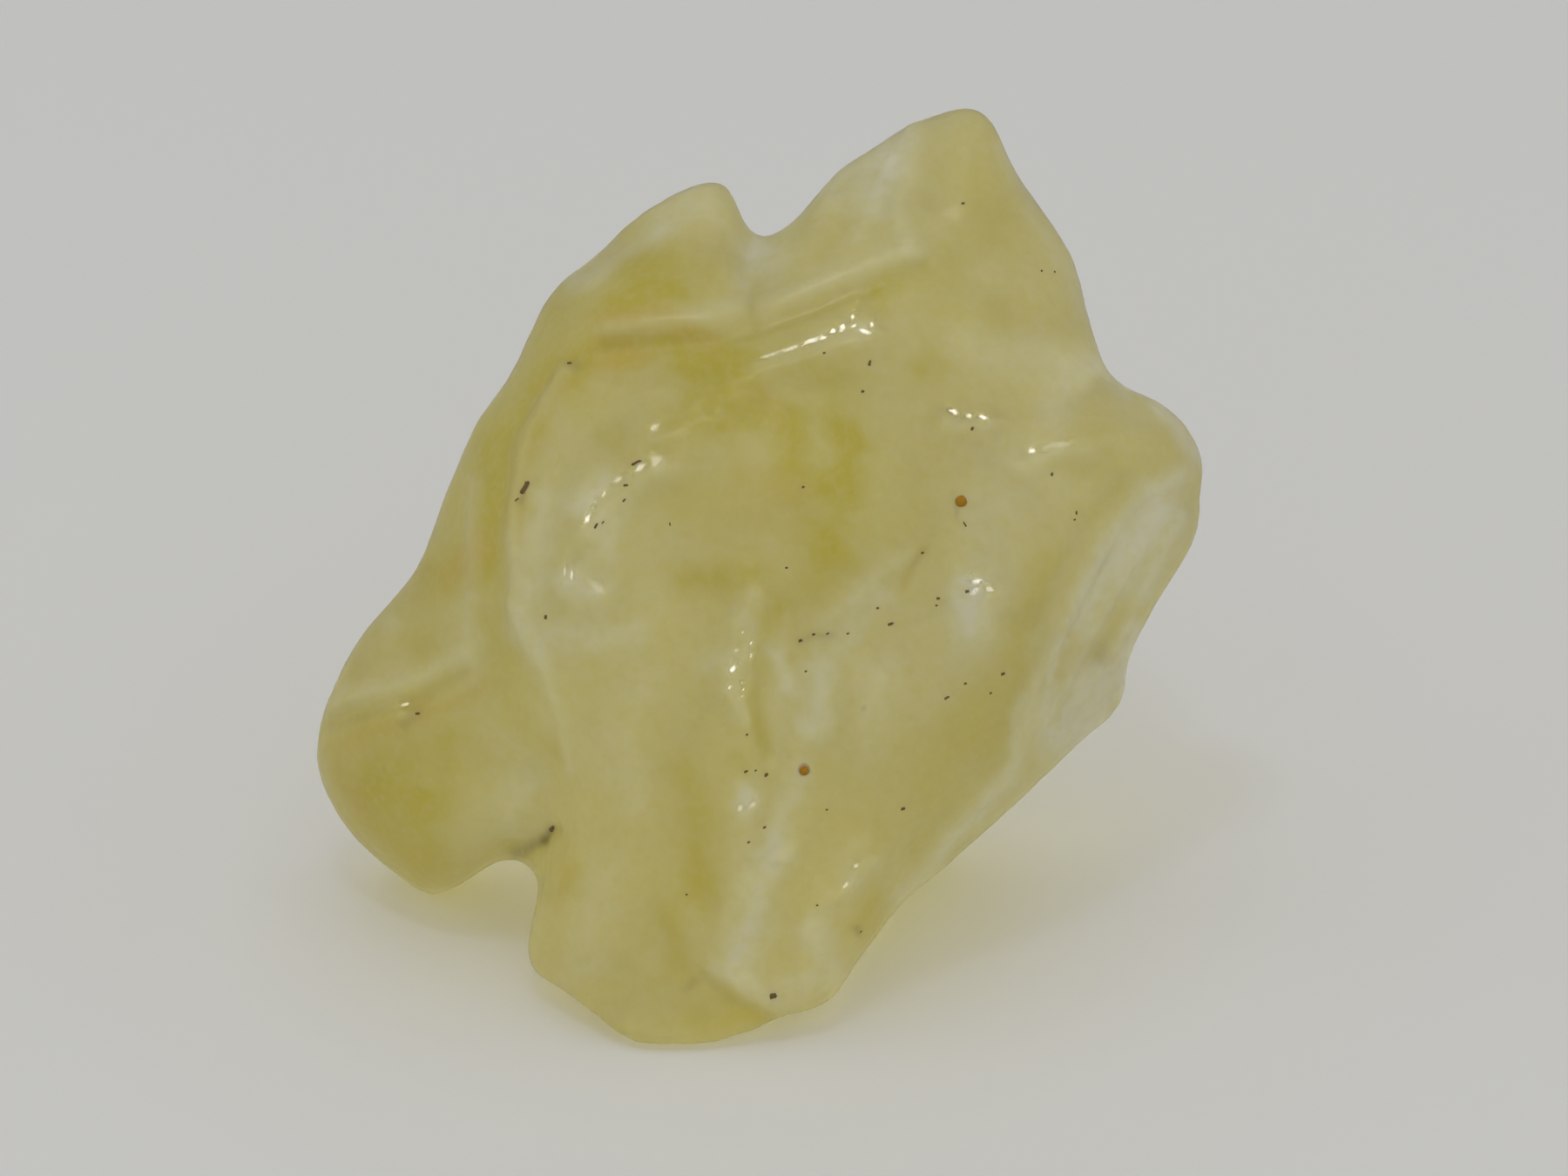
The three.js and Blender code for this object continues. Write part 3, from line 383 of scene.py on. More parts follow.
# Dark grains in the skin of the glass, as (u, v, half length, half width, turn in degrees).
GRAINS = [
    (-13.8, 4.45, 0.40, 0.17, 65), (-7.40, 5.90, 0.34, 0.09, 35), (-8.0, 4.6, 0.16, 0.08, 10),
    (-13.65, 4.75, 0.16, 0.12, 20), (-14.25, 3.8, 0.16, 0.06, 55),
    (-8.1, 3.75, 0.13, 0.07, 40), (-9.7, 2.3, 0.20, 0.08, 60), (-9.3, 2.5, 0.12, 0.05, 50),
    (-5.5, 2.4, 0.12, 0.05, 100), (-12.6, -2.9, 0.14, 0.11, 90), (-11.25, 11.6, 0.16, 0.10, 30),
    (-20.0, -8.45, 0.16, 0.09, 20), (-12.25, -15.0, 0.34, 0.15, 50), (5.9, 11.6, 0.20, 0.09, 60),
    (5.5, 9.95, 0.11, 0.09, 0), (3.3, 12.15, 0.10, 0.07, 0), (2.1, 4.5, 0.10, 0.08, 0),
    (15.75, 16.9, 0.10, 0.08, 0), (16.5, 16.85, 0.09, 0.08, 0), (11.25, 20.75, 0.11, 0.09, 0),
    (11.75, 7.85, 0.13, 0.10, 40), (16.3, 5.25, 0.12, 0.09, 60), (17.7, 3.05, 0.13, 0.08, 70),
    (17.6, 2.65, 0.09, 0.07, 0), (11.3, 2.4, 0.20, 0.06, 115), (1.15, -0.1, 0.09, 0.07, 0),
    (1.95, -4.25, 0.14, 0.11, 0), (2.7, -3.9, 0.11, 0.09, 0), (3.5, -3.85, 0.11, 0.08, 0),
    (4.65, -3.85, 0.09, 0.07, 0), (7.1, -3.3, 0.20, 0.10, 20), (6.35, -2.4, 0.10, 0.08, 0),
    (2.25, -6.0, 0.09, 0.07, 0), (9.8, -1.85, 0.12, 0.09, 0), (9.7, -2.25, 0.09, 0.07, 0),
    (11.45, -1.45, 0.14, 0.11, 0), (13.5, -6.15, 0.15, 0.12, 0), (11.35, -6.7, 0.10, 0.08, 0),
    (10.3, -7.5, 0.19, 0.08, 20), (12.8, -7.25, 0.10, 0.08, 0), (8.9, 0.75, 0.10, 0.08, 0),
    (-1.1, -9.6, 0.09, 0.07, 0), (-1.15, -11.7, 0.14, 0.08, 10), (-0.6, -11.65, 0.09, 0.07, 0),
    (0.0, -11.9, 0.16, 0.13, 0), (-0.1, -14.9, 0.12, 0.09, 0), (-1.0, -15.75, 0.11, 0.08, 0),
    (7.8, -13.85, 0.15, 0.12, 0), (5.4, -20.9, 0.12, 0.09, 0), (2.9, -19.35, 0.08, 0.06, 0),
    (3.45, -13.9, 0.08, 0.06, 0), (-4.55, -18.75, 0.08, 0.06, 0), (0.4, -24.55, 0.24, 0.20, 0),
]
GRAIN_DEPTH = 0.5  # a grain is this deep, against its half width
GRAIN_RISE = 0.4  # and this share of that depth stands out of the glass
GRAIN_SEED = 7

# Round brown inclusions just under the skin, as (u, v, radius, how far one is sunk against its radius).
INCLUSIONS = [(11.1, 3.7, 0.36, 0.35), (2.15, -11.65, 0.38, 0.6)]


# ---------------------------------------------------------------- settings

class GlassShape(bpy.types.PropertyGroup):
    """How finely the lump is modelled."""

    voxel: FloatProperty(name="Voxel", description="Cell of the even skin, which the broad face halves",
                         default=0.46 * MM, unit="LENGTH")
    smoothing: IntProperty(name="Smoothing", description="Passes over the new skin", default=3, min=0)
    relief: FloatProperty(name="Relief", description="Height of the ribs and furrows against their own",
                          default=0.7, min=0.0)
    scallop_size: FloatProperty(name="Scallop size", description="Width of the hollows worn into the back",
                                default=6 * MM, unit="LENGTH")
    scallop_depth: FloatProperty(name="Scallop depth", description="Depth of the hollows of the back",
                                 default=1.0 * MM, unit="LENGTH")
    wave_size: FloatProperty(name="Wave size", description="Width of the wind's shallow waves",
                             default=2.4 * MM, unit="LENGTH")
    wave_height: FloatProperty(name="Wave height", description="Height of those waves", default=0.10 * MM,
                               unit="LENGTH")
    ripple_size: FloatProperty(name="Ripple size", description="Width of the fine ripples",
                               default=0.9 * MM, unit="LENGTH")
    ripple_height: FloatProperty(name="Ripple height", description="Height of those ripples",
                                 default=0.07 * MM, unit="LENGTH")


class GlassColours(bpy.types.PropertyGroup):
    """The colours of the glass and what is in it."""

    body: FloatVectorProperty(name="Body", description="The pale yellow-green that most of the glass has",
                              subtype="COLOR", default=(0.78, 0.725, 0.37))
    # The olive also stands in for shade: it is painted into the furrows and onto faces turned from the
    # lamps.
    olive: FloatVectorProperty(name="Olive", description="The deeper tint of thick places and furrows",
                               subtype="COLOR", default=(0.65, 0.565, 0.072))
    # The milk colour also paints light: paler ribs and flank, sheen, reflections and the haze round the
    # glints.
    milk_and_light: FloatVectorProperty(name="Milk", description="The cloudy tint of thin edges and ribs",
                              subtype="COLOR", default=(0.95, 0.955, 0.86))
    amber: FloatVectorProperty(name="Amber", description="The warm tint of the stains",
                               subtype="COLOR", default=(0.69, 0.55, 0.102))
    # The dirt colour also paints shade: the dark of the cleft is partly painted shade, and one stroke is a
    # painted shadow line beside the right crest.
    dirt_and_shade: FloatVectorProperty(name="Dirt", description="The dirt in the cleft and around the grains",
                              subtype="COLOR", default=(0.20, 0.15, 0.05))
    grain: FloatVectorProperty(name="Grain", description="The dark grains in the skin",
                               subtype="COLOR", default=(0.075, 0.052, 0.014))
    inclusion: FloatVectorProperty(name="Inclusion", description="The brown inclusions",
                                   subtype="COLOR", default=(0.30, 0.13, 0.004))
    mottle: FloatProperty(name="Mottle", description="How strong the fine spots of olive and milk are",
                          default=0.24, min=0.0, max=1.0)


class StageSettings(bpy.types.PropertyGroup):
    """The floor, the lights and the camera."""

    floor_size: FloatProperty(name="Floor size", description="Side of the floor", default=4.0, unit="LENGTH")
    view_width: FloatProperty(name="View width", description="What the picture spans at the outline's plane",
                              default=90 * MM, unit="LENGTH")


# ---------------------------------------------------------------- small tools

def new_object(name, data):
    """An object in the scene."""
    thing = bpy.data.objects.new(name, data)
    bpy.context.scene.collection.objects.link(thing)
    return thing


def select_only(piece):
    bpy.ops.object.select_all(action="DESELECT")
    piece.select_set(True)
    bpy.context.view_layer.objects.active = piece


def apply_modifier(piece, kind, **settings):
    """Give a piece a modifier and make it part of its mesh."""
    modifier = piece.modifiers.new(kind.lower(), kind)
    for name, value in settings.items():
        setattr(modifier, name, value)
    select_only(piece)
    bpy.ops.object.modifier_apply(modifier=modifier.name)


def vertex_rows(piece, name):
    """The "co" or the "normal" of every point of a mesh, as rows."""
    rows = np.empty(len(piece.data.vertices) * 3)
    piece.data.vertices.foreach_get(name, rows)
    return rows.reshape(-1, 3)


def mesh_points(piece):
    return vertex_rows(piece, "co")


def mesh_normals(piece):
    return vertex_rows(piece, "normal")


def outlook(piece):
    """How much the skin looks out of the broad face, from -1 to 1."""
    return mesh_normals(piece) @ np.array(FACE_OUT)


def place_points(piece, points):
    piece.data.vertices.foreach_set("co", points.ravel())
    piece.data.update()


def store_mask(piece, name, values):
    """Keep a mask on the points of a mesh, for its material."""
    mask = piece.data.attributes.new(name, "FLOAT", "POINT")
    mask.data.foreach_set("value", values.astype(np.float32))


def read_mask(piece, name):
    """The values of a mask, one for each point."""
    values = np.empty(len(piece.data.vertices), np.float32)
    piece.data.attributes[name].data.foreach_get("value", values)
    return values


def finish_piece(piece, material):
    piece.data.materials.clear()
    piece.data.materials.append(material)
    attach(piece, "root")


# ---------------------------------------------------------------- materials

def feed(tree, socket, value):
    """Link a socket to another one, or set it to a value."""
    if isinstance(value, bpy.types.NodeSocket):
        tree.links.new(value, socket)
    else:
        socket.default_value = value


def add_node(tree, kind, **settings):
    """A new node, with its properties and then its sockets set by name."""
    node = tree.nodes.new(kind)
    inputs = settings.pop("inputs", {})
    for name, value in settings.items():
        setattr(node, name, value)
    for name, value in inputs.items():
        feed(tree, node.inputs[name], value)
    return node


def mix_colours(tree, share, first, second):
    """Mix two colours by a share that is a socket or a number."""
    node = tree.nodes.new("ShaderNodeMix")
    node.data_type = "RGBA"
    for index, value in ((0, share), (6, first), (7, second)):
        feed(tree, node.inputs[index], value)
    return node.outputs[2]


def new_material(name):
    """A material with nothing but its output and its surface shader."""
    material = bpy.data.materials.new(name)
    material.use_nodes = True
    tree = material.node_tree
    return material, tree, tree.nodes["Principled BSDF"]


def opaque(colour):
    return (*colour, 1.0)


SHADOW_LIGHT = (0.85, 0.83, 0.74, 1.0)  # what each wall of the glass lets through of a lamp's light
MOTTLES = (("olive", 1300.0, 1.0), ("milk_and_light", 1700.0, 0.5))  # fine spots: their tint, scale and strength
SPOT_RANGE = (0.45, 0.75)  # a spot starts at the first height of its noise and is full at the second
SKIN_ROUGHNESS = (0.42, 0.12)  # of the worn skin, and of a polished flat
SKIN_GLOSS = (0.06, 0.45)  # the clear gloss over each of those


def noise_socket(tree, scale, detail=2.0):
    """A fine noise through the piece, from 0 to 1, as a socket."""
    place = add_node(tree, "ShaderNodeTexCoord").outputs["Object"]
    inputs = {"Vector": place, "Scale": scale, "Detail": detail}
    return add_node(tree, "ShaderNodeTexNoise", inputs=inputs).outputs["Fac"]


def mask_socket(tree, name):
    """A mask of the mesh, as a socket."""
    return add_node(tree, "ShaderNodeAttribute", attribute_name=name).outputs["Fac"]


def share_between(tree, value, source, target):
    """A value mapped from one range to another, as a socket."""
    inputs = {"Value": value, "From Min": source[0], "From Max": source[1], "To Min": target[0],
              "To Max": target[1]}
    return add_node(tree, "ShaderNodeMapRange", inputs=inputs).outputs["Result"]


def glass_material(colours):
    material, tree, shader = new_material("worn desert glass")
    colour = opaque(colours.body)
    # The olive, milky and dirt masks hold painted shade and painted light as well as the glass's own tints.
    for tint in ("olive", "amber", "milk_and_light"):
        colour = mix_colours(tree, mask_socket(tree, tint), colour, opaque(getattr(colours, tint)))
    for tint, scale, strength in MOTTLES:
        spots = noise_socket(tree, scale, detail=4.0)
        share = share_between(tree, spots, SPOT_RANGE, (0, colours.mottle * strength))
        colour = mix_colours(tree, share, colour, opaque(getattr(colours, tint)))
    colour = mix_colours(tree, mask_socket(tree, "dirt_and_shade"), colour, opaque(colours.dirt_and_shade))
    tree.links.new(colour, shader.inputs["Base Color"])
    fine = noise_socket(tree, scale=1800.0, detail=3.0)
    bump = add_node(tree, "ShaderNodeBump", inputs={"Height": fine, "Strength": 0.25, "Distance": 0.03 * MM})
    tree.links.new(bump.outputs["Normal"], shader.inputs["Normal"])
    tree.links.new(bump.outputs["Normal"], shader.inputs["Coat Normal"])
    polish = mask_socket(tree, "polish")
    tree.links.new(share_between(tree, polish, (0, 1), SKIN_ROUGHNESS), shader.inputs["Roughness"])
    tree.links.new(share_between(tree, polish, (0, 1), SKIN_GLOSS), shader.inputs["Coat Weight"])
    shader.inputs["IOR"].default_value = 1.46
    shader.inputs["Transmission Weight"].default_value = 0.6
    shader.inputs["Subsurface Weight"].default_value = 1.0
    shader.inputs["Subsurface Radius"].default_value = (1.0, 0.9, 0.35)
    shader.inputs["Subsurface Scale"].default_value = 1.0 * MM
    shader.inputs["Coat Roughness"].default_value = 0.16
    shader.inputs["Coat IOR"].default_value = 1.5
    absorption = add_node(tree, "ShaderNodeVolumeAbsorption",
                          inputs={"Color": (0.93, 0.91, 0.50, 1.0), "Density": 60.0})
    output = tree.nodes["Material Output"]
    tree.links.new(absorption.outputs["Volume"], output.inputs["Volume"])
    clear = add_node(tree, "ShaderNodeBsdfTransparent", inputs={"Color": SHADOW_LIGHT})
    shadow = add_node(tree, "ShaderNodeLightPath").outputs["Is Shadow Ray"]
    either = add_node(tree, "ShaderNodeMixShader", inputs={"Fac": shadow})
    tree.links.new(shader.outputs["BSDF"], either.inputs[1])
    tree.links.new(clear.outputs["BSDF"], either.inputs[2])
    tree.links.new(either.outputs["Shader"], output.inputs["Surface"])
    return material


RUSTY = (0.22, 0.13, 0.03)
TAN = (0.50, 0.26, 0.012)


def speckled_material(name, first, second, scale, shine):
    """A matt mineral of two colours in fine specks."""
    material, tree, shader = new_material(name)
    colour = mix_colours(tree, noise_socket(tree, scale), opaque(first), opaque(second))
    tree.links.new(colour, shader.inputs["Base Color"])
    shader.inputs["Roughness"].default_value = 0.6
    shader.inputs["Specular IOR Level"].default_value = shine
    return material


def grain_material(colours):
    return speckled_material("dark mineral grain", colours.grain, RUSTY, scale=5000.0, shine=0.5)


def inclusion_material(colours):
    return speckled_material("brown inclusion", colours.inclusion, TAN, scale=4000.0, shine=0.2)


def floor_material():
    material, _tree, shader = new_material("pale matt floor")
    shader.inputs["Base Color"].default_value = (0.8, 0.8, 0.79, 1.0)
    shader.inputs["Roughness"].default_value = 0.7
    return material


# ---------------------------------------------------------------- the lump of glass

def even_skin(shape):
    """A copy of the CAD lump with its facets merged and its skin made even and smooth."""
    lump = new_object("glass_lump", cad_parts[NODE].data.copy())
    select_only(lump)
    bpy.ops.object.mode_set(mode="EDIT")
    bpy.ops.mesh.select_all(action="SELECT")
    bpy.ops.mesh.remove_doubles(threshold=0.001 * MM)
    bpy.ops.object.mode_set(mode="OBJECT")
    apply_modifier(lump, "SUBSURF", levels=1, render_levels=1)
    apply_modifier(lump, "REMESH", mode="VOXEL", voxel_size=shape.voxel, use_smooth_shade=True)
    apply_modifier(lump, "SMOOTH", factor=0.5, iterations=shape.smoothing)
    halve_cells(lump, outlook(lump) > FACE_LIMIT)
    apply_modifier(lump, "SMOOTH", factor=0.5, iterations=shape.smoothing)
    return lump


def halve_cells(piece, chosen):
    """Subdivide the faces whose corners are all chosen."""
    select_only(piece)
    mesh = piece.data
    corners = np.empty(len(mesh.loops), int)
    mesh.loops.foreach_get("vertex_index", corners)
    starts = np.empty(len(mesh.polygons), int)
    mesh.polygons.foreach_get("loop_start", starts)
    picked = np.logical_and.reduceat(chosen[corners], starts)
    bpy.ops.object.mode_set(mode="EDIT")
    bpy.ops.mesh.select_mode(type="FACE")
    bpy.ops.mesh.select_all(action="DESELECT")
    bpy.ops.object.mode_set(mode="OBJECT")
    mesh.polygons.foreach_set("select", picked)
    bpy.ops.object.mode_set(mode="EDIT")
    bpy.ops.mesh.subdivide(number_cuts=1)
    bpy.ops.object.mode_set(mode="OBJECT")


def refine_flats(piece):
    """Finer cells where the small flats will be ground."""
    for margin in FLAT_MARGINS:
        u, v, _w = face_coordinates(mesh_points(piece))
        near = np.zeros(len(u), bool)
        for flat in FLATS:
            near |= np.hypot(u - flat.u, v - flat.v) < flat.half_length + margin
        halve_cells(piece, near & (outlook(piece) > FACE_LIMIT))
    apply_modifier(piece, "SMOOTH", factor=0.5, iterations=2)


def clouds(points, size, seed, octaves=3):
    """Soft clouds of about a size in millimetres, from -1 to 1, through the whole lump."""
    shift = Vector((seed, 2.0 * seed, 3.0 * seed))
    scale = 1 / (size * MM)
    return np.array([noise.fractal(Vector(point) * scale + shift, 1.0, 2.0, octaves) for point in points])


def scallop_back(piece, shape):
    """Wear the sides and the back into shallow hollows with crests between them."""
    points = mesh_points(piece)
    normals = mesh_normals(piece)
    away = 1 - smooth_between(*HOLLOW_LIMITS, outlook(piece))
    hollow = np.abs(clouds(points, shape.scallop_size / MM, HOLLOW_SEED, octaves=2))
    depth = away * hollow * shape.scallop_depth
    place_points(piece, points - normals * depth[:, None])


def cloud_displace(piece, name, size, height):
    """Raise and sink the skin by a soft cloud pattern."""
    texture = bpy.data.textures.new(name, "CLOUDS")
    texture.noise_scale = size
    texture.noise_depth = 1
    apply_modifier(piece, "DISPLACE", texture=texture, texture_coords="LOCAL", strength=height,
                   mid_level=0.5)


def raise_relief(piece, shape):
    """Raise the ribs and sink the furrows of the broad face."""
    points = mesh_points(piece)
    normals = mesh_normals(piece)
    u, v, _w = face_coordinates(points)
    relief = np.zeros(len(u))
    for height, width, path in RELIEF.values():
        relief += height * soft_line(path, width, u, v)
    relief *= smooth_between(*RELIEF_LIMITS, outlook(piece))
    store_mask(piece, "relief", relief)
    place_points(piece, points + normals * (relief * shape.relief * MM)[:, None])


def grind_flats(piece):
    """Turn small flats of the broad face so that they send the key lamp's light to the front.

    The skin around each leans the same way first, so that a flat has no step around it.
    """
    points = mesh_points(piece)
    u, v, w = face_coordinates(points)
    front = outlook(piece) > 0
    lamp = SPECIMEN_MIDDLE + direction(*KEY_WAY) * KEY_DISTANCE
    eye = CAMERA_AIM + FACE_OUT * CAMERA_DISTANCE
    ragged = clouds(points, FLAT_GRAIN, FLAT_SEED, octaves=1)
    polish = np.zeros(len(u))
    start = w.copy()
    for stage in (LEANING, GRINDING):
        edge = np.clip(1 + stage.unevenness * ragged, *UNEVENNESS_LIMITS)
        for flat in FLATS:
            if stage == GRINDING and flat.polish == 0:
                continue
            spot = face_place(flat.u, flat.v, FLAT_LEVEL)
            half_way = (lamp - spot).normalized() + (eye - spot).normalized()
            slope_u = -half_way.dot(FACE_RIGHT) / half_way.dot(FACE_OUT)
            slope_v = -half_way.dot(FACE_UP) / half_way.dot(FACE_OUT)
            away_u, away_v = u - flat.u, v - flat.v
            cos, sin = math.cos(math.radians(flat.turn)), math.sin(math.radians(flat.turn))
            along = (away_u * cos + away_v * sin) / (flat.half_length * stage.reach)
            across = (away_v * cos - away_u * sin) / (flat.half_width * stage.reach)
            distance = (along**2 + across**2) * edge
            share = stage.share * np.exp(-(distance**stage.squareness)) * front
            level = (share @ w) / share.sum()
            w = w + (level + slope_u * away_u + slope_v * away_v - w) * share
            polish = np.maximum(polish, stage.polish * flat.polish * np.exp(-distance) * front)
    w = w + FLAT_RIPPLE * ragged * polish
    place_points(piece, points + np.outer((w - start) * MM, np.array(FACE_OUT)))
    store_mask(piece, "polish", polish)


def keep_inside(piece):
    """Hold the skin inside the CAD lump's box, and down on the resting plane."""
    low, high = (np.array(corner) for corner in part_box(NODE))
    place_points(piece, np.clip(mesh_points(piece), low, high))


def thickness_under(piece):
    """How much glass lies under each point, in millimetres, straight in from just below the skin."""
    tree = BVHTree.FromObject(piece, bpy.context.evaluated_depsgraph_get())
    depths = []
    for point, normal in zip(mesh_points(piece), mesh_normals(piece)):
        inward = Vector(-normal)
        place, _normal, _index, distance = tree.ray_cast(Vector(point) + inward * SKIN_STEP, inward)
        depths.append(distance / MM if place else 0.0)
    return np.array(depths)


def wander(a, b):
    """A soft wobble that makes the edge of a tint uneven."""
    long_wave = 0.5 * np.sin(0.9 * a + 1.3 * b)
    middle_wave = 0.3 * np.sin(2.1 * a - 1.6 * b + 1.0)
    short_wave = 0.2 * np.sin(3.7 * b + 1.9 * a)
    return long_wave + middle_wave + short_wave


def paint_masks(piece):
    """Where the glass is olive, milky, amber or dirty, and where painted shade and painted light lie in
    those tints.
    """
    points = mesh_points(piece)
    u, v, _w = face_coordinates(points)
    wobbled_u = u + EDGE_WOBBLE * wander(u, v)
    wobbled_v = v + EDGE_WOBBLE * wander(v, u + 4)
    facing = smooth_between(*TINT_LIMITS, outlook(piece))
    thin = 1 - smooth_between(*THIN_GLASS, thickness_under(piece))
    relief = read_mask(piece, "relief")
    for seed, (tint, strokes) in enumerate(STROKES.items()):
        face = np.full(len(u), FACE_TINTS[tint])
        for strength, width, path in strokes:
            face += strength * soft_line(path, width, wobbled_u, wobbled_v)
        back = BACK_TINTS[tint] * (1 + CLOUD_CONTRAST * clouds(points, CLOUD_SIZE, CLOUD_SEED + seed))
        if tint == "milk_and_light":
            back += THIN_MILK * thin
            # painted light: the higher a rib stands, the paler it is painted
            face += RIB_PAINTED_LIGHT * np.clip(relief, 0, 1)
        if tint == "olive":
            # painted shade: the deeper a furrow sinks, the more olive it is painted
            face += FURROW_PAINTED_SHADE * np.clip(-relief, 0, 1)
        mask = face * facing + np.clip(back, 0, 1) * (1 - facing)
        store_mask(piece, tint, np.clip(mask, 0, 1))


class SPECIMEN_OT_make_glass(bpy.types.Operator):
    """Model the lump of glass on the CAD solid's form"""

    bl_idname = "specimen.make_glass"
    bl_label = "Make Glass Lump"

    def execute(self, context):
        shape = context.scene.glass_shape
        lump = even_skin(shape)
        cloud_displace(lump, "wind waves", shape.wave_size, shape.wave_height)
        scallop_back(lump, shape)
        raise_relief(lump, shape)
        refine_flats(lump)
        cloud_displace(lump, "fine ripples", shape.ripple_size, shape.ripple_height)
        grind_flats(lump)
        keep_inside(lump)
        paint_masks(lump)
        select_only(lump)
        bpy.ops.object.shade_smooth()
        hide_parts(NODE)
        finish_piece(lump, glass_material(context.scene.glass_colours))
        return {"FINISHED"}


# ---------------------------------------------------------------- grains and inclusions

def skin_point(tree, u, v):
    """Where a line into the broad face meets the skin, and the skin's normal there."""
    start = face_place(u, v, OUTSIDE)
    place, normal, _index, _distance = tree.ray_cast(start, -FACE_OUT)
    if place is None:
        raise RuntimeError(f"no glass at u {u}, v {v}")
    return place, normal


def lump_tree(context):
    return BVHTree.FromObject(bpy.data.objects["glass_lump"], context.evaluated_depsgraph_get())


def rough_ball(name, rough, seed):
    """A small uneven ball of radius 1, as a mesh."""
    bpy.ops.object.select_all(action="DESELECT")
    bpy.ops.mesh.primitive_ico_sphere_add(subdivisions=2, radius=1)
    ball = bpy.context.object
    ball.name = name
    draw = np.random.default_rng(seed)
    points = mesh_points(ball)
    place_points(ball, points * (1 + rough * draw.uniform(-1, 1, (len(points), 1))))
    return ball


def join_copies(name, master, places):
    """One mesh of copies of a master, each set by its own matrix. The master goes."""
    copies = []
    for place in places:
        copy = new_object(name, master.data.copy())
        copy.data.transform(place)
        copies.append(copy)
    bpy.data.objects.remove(master)
    bpy.ops.object.select_all(action="DESELECT")
    for copy in copies:
        copy.select_set(True)
    bpy.context.view_layer.objects.active = copies[0]
    bpy.ops.object.join()
    bpy.ops.object.shade_smooth()
    joined = bpy.context.object
    joined.name = name
    return joined


class SPECIMEN_OT_set_grains(bpy.types.Operator):
    """Set the dark grains into the skin of the glass"""

    bl_idname = "specimen.set_grains"
    bl_label = "Set Dark Grains"

    def execute(self, context):
        tree = lump_tree(context)
        places = []
        for u, v, half_length, half_width, turn in GRAINS:
            point, normal = skin_point(tree, u, v)
            depth = GRAIN_DEPTH * half_width
            centre = point - normal * (depth * (1 - 2 * GRAIN_RISE)) * MM
            upright = normal.to_track_quat("Z", "Y").to_matrix().to_4x4()
            turned = Matrix.Rotation(math.radians(turn), 4, "Z")
            size = Matrix.Diagonal((half_length * MM, half_width * MM, depth * MM, 1))
            places.append(Matrix.Translation(centre) @ upright @ turned @ size)
        grains = join_copies("dark_grains", rough_ball("grain", rough=0.30, seed=GRAIN_SEED), places)
        finish_piece(grains, grain_material(context.scene.glass_colours))
        return {"FINISHED"}


class SPECIMEN_OT_set_inclusions(bpy.types.Operator):
    """Set the brown inclusions under the skin of the glass"""

    bl_idname = "specimen.set_inclusions"
    bl_label = "Set Brown Inclusions"

    def execute(self, context):
        tree = lump_tree(context)
        places = []
        for u, v, radius, sink in INCLUSIONS:
            point, normal = skin_point(tree, u, v)
            centre = point - normal * (sink * radius) * MM
            places.append(Matrix.Translation(centre) @ Matrix.Scale(radius * MM, 4))
        master = rough_ball("inclusion", rough=0.08, seed=GRAIN_SEED)
        inclusions = join_copies("brown_inclusions", master, places)
        finish_piece(inclusions, inclusion_material(context.scene.glass_colours))
        return {"FINISHED"}


# ---------------------------------------------------------------- the stage

# A soft light that looks at the specimen: the way to it and how far, its size, brightness and colour.
Softbox = namedtuple("Softbox", "name azimuth elevation distance size brightness colour")

SOFTBOXES = [
    Softbox("overhead key", *KEY_WAY, KEY_DISTANCE, (0.09, 0.06), 22.0, (1.0, 0.98, 0.95)),
    Softbox("overhead panel", 0, 88, 1.20, (1.30, 1.10), 0.45, (1.0, 1.0, 1.0)),
    Softbox("front panel", 0, 30, 1.30, (1.50, 1.00), 0.41, (1.0, 1.0, 1.0)),
    Softbox("back panel", 180, 30, 1.30, (1.50, 1.00), 0.35, (1.0, 1.0, 1.0)),
    Softbox("left panel", -85, 30, 1.30, (1.50, 1.00), 0.43, (0.92, 0.96, 1.0)),
    Softbox("right panel", 85, 30, 1.30, (1.50, 1.00), 0.55, (1.0, 0.96, 0.88)),
]
ROOM_COLOUR = (0.98, 0.98, 0.97, 1.0)
ROOM_BRIGHTNESS = 0.305


def add_softbox(softbox):
    """An area light that looks at the specimen, and that the camera doesn't see."""
    away = direction(softbox.azimuth, softbox.elevation)
    light = bpy.data.lights.new(softbox.name, "AREA")
    light.shape = "RECTANGLE"
    light.size, light.size_y = softbox.size
    light.energy = softbox.brightness * math.pi * light.size * light.size_y
    light.color = softbox.colour
    lamp = new_object(softbox.name, light)
    lamp.location = SPECIMEN_MIDDLE + away * softbox.distance
    lamp.rotation_euler = away.to_track_quat("Z", "Y").to_euler()
    lamp.visible_camera = False


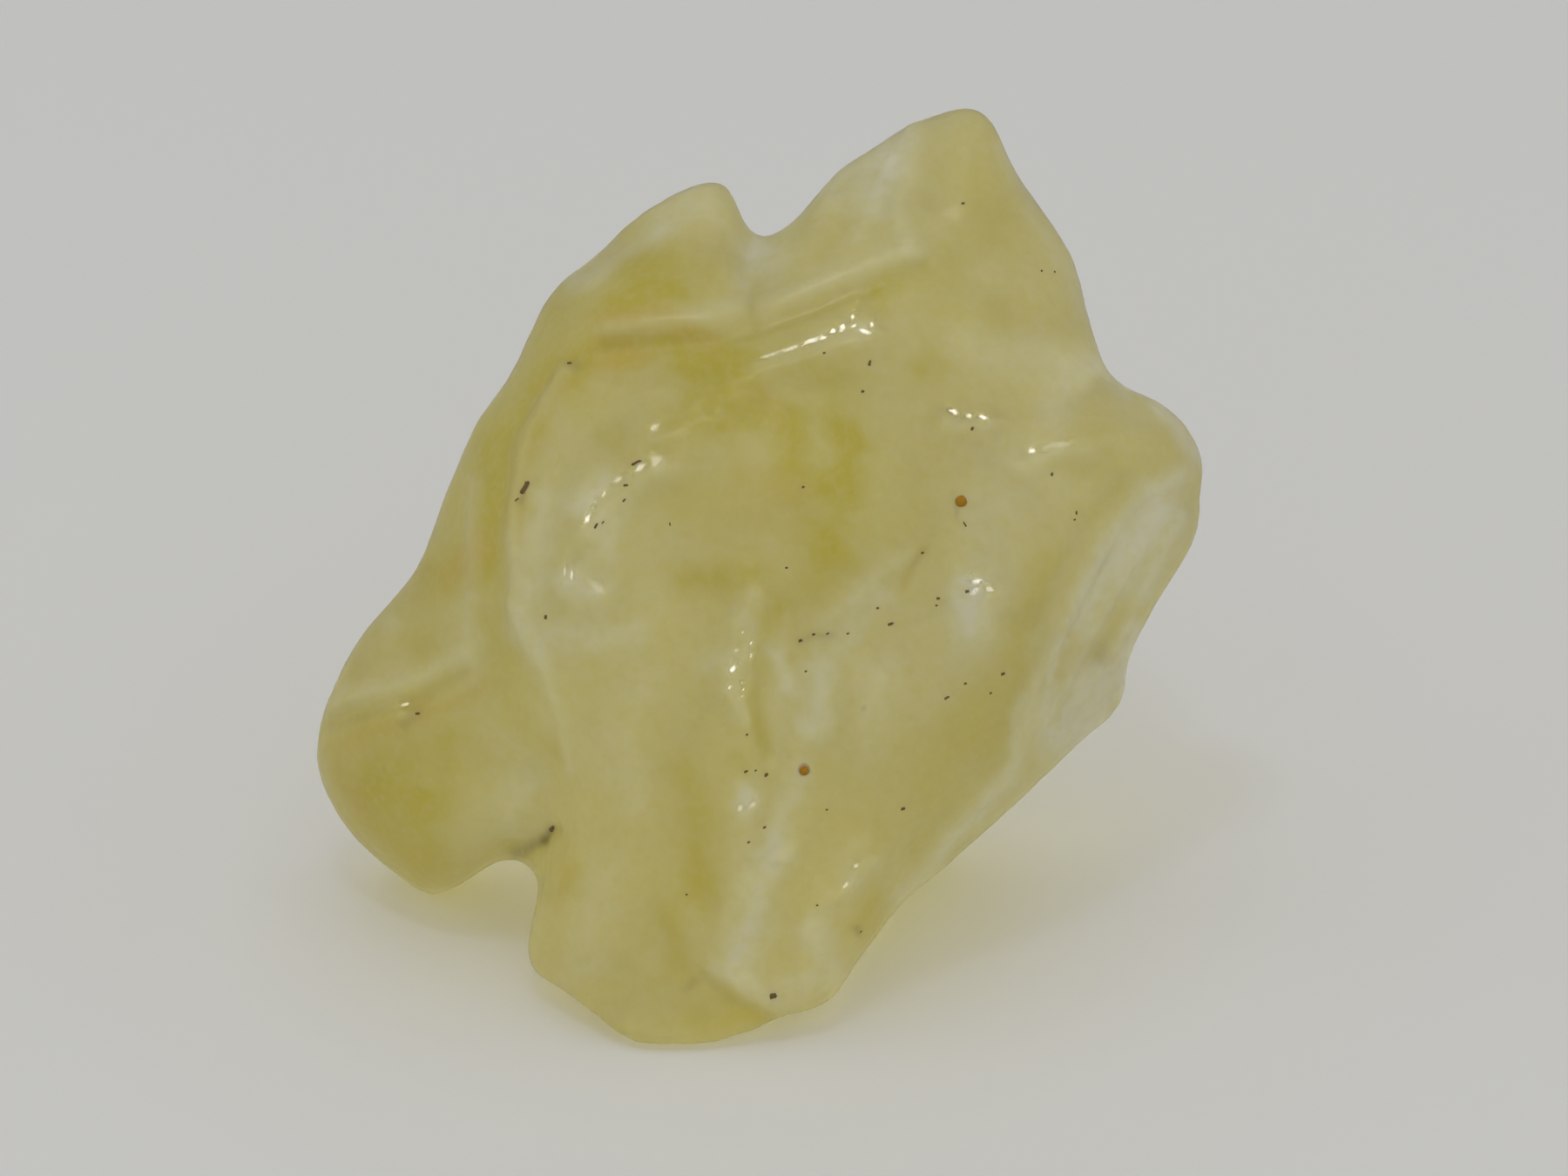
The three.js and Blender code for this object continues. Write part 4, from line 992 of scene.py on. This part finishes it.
class SPECIMEN_OT_set_stage(bpy.types.Operator):
    """Set the floor, the lights and the camera"""

    bl_idname = "specimen.set_stage"
    bl_label = "Set Stage"

    def execute(self, context):
        scene = context.scene
        settings = scene.stage_settings
        bpy.ops.object.select_all(action="DESELECT")
        bpy.ops.mesh.primitive_plane_add(size=settings.floor_size)
        floor = context.object
        floor.name = "floor"
        floor.data.materials.append(floor_material())

        world = bpy.data.worlds.new("pale room")
        world.use_nodes = True
        background = world.node_tree.nodes["Background"]
        background.inputs["Color"].default_value = ROOM_COLOUR
        background.inputs["Strength"].default_value = ROOM_BRIGHTNESS
        scene.world = world

        for softbox in SOFTBOXES:
            add_softbox(softbox)

        camera_data = bpy.data.cameras.new("camera")
        camera_data.sensor_width = 36
        camera_data.lens = camera_data.sensor_width * CAMERA_DISTANCE / settings.view_width
        camera_data.clip_start = 0.01
        camera = new_object("camera", camera_data)
        camera.location = CAMERA_AIM + FACE_OUT * CAMERA_DISTANCE
        camera.rotation_euler = FACE_OUT.to_track_quat("Z", "Y").to_euler()
        scene.camera = camera
        scene.view_settings.view_transform = "Standard"
        return {"FINISHED"}


# ---------------------------------------------------------------- the panel and the run

OPERATORS = (
    SPECIMEN_OT_set_stage,
    SPECIMEN_OT_make_glass,
    SPECIMEN_OT_set_grains,
    SPECIMEN_OT_set_inclusions,
)


class SPECIMEN_PT_panel(bpy.types.Panel):
    """The steps that make the specimen"""

    bl_idname = "SPECIMEN_PT_panel"
    bl_label = "Desert Glass Specimen"
    bl_space_type = "VIEW_3D"
    bl_region_type = "UI"
    bl_category = "Desert Glass"

    def draw(self, context):
        for group in SETTINGS:
            settings = getattr(context.scene, group)
            box = self.layout.box()
            for name in settings.__annotations__:
                box.prop(settings, name)
        for operator in OPERATORS:
            self.layout.operator(operator.bl_idname)


SETTINGS = {"glass_shape": GlassShape, "glass_colours": GlassColours, "stage_settings": StageSettings}
CLASSES = (*SETTINGS.values(), *OPERATORS, SPECIMEN_PT_panel)


def register():
    for each in CLASSES:
        bpy.utils.register_class(each)
    for name, group in SETTINGS.items():
        setattr(bpy.types.Scene, name, PointerProperty(type=group))


def unregister():
    for name in SETTINGS:
        delattr(bpy.types.Scene, name)
    for each in reversed(CLASSES):
        bpy.utils.unregister_class(each)


def main():
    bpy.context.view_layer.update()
    register()
    bpy.ops.specimen.set_stage()
    bpy.ops.specimen.make_glass()
    bpy.ops.specimen.set_grains()
    bpy.ops.specimen.set_inclusions()


if __name__ == "__main__":
    main()
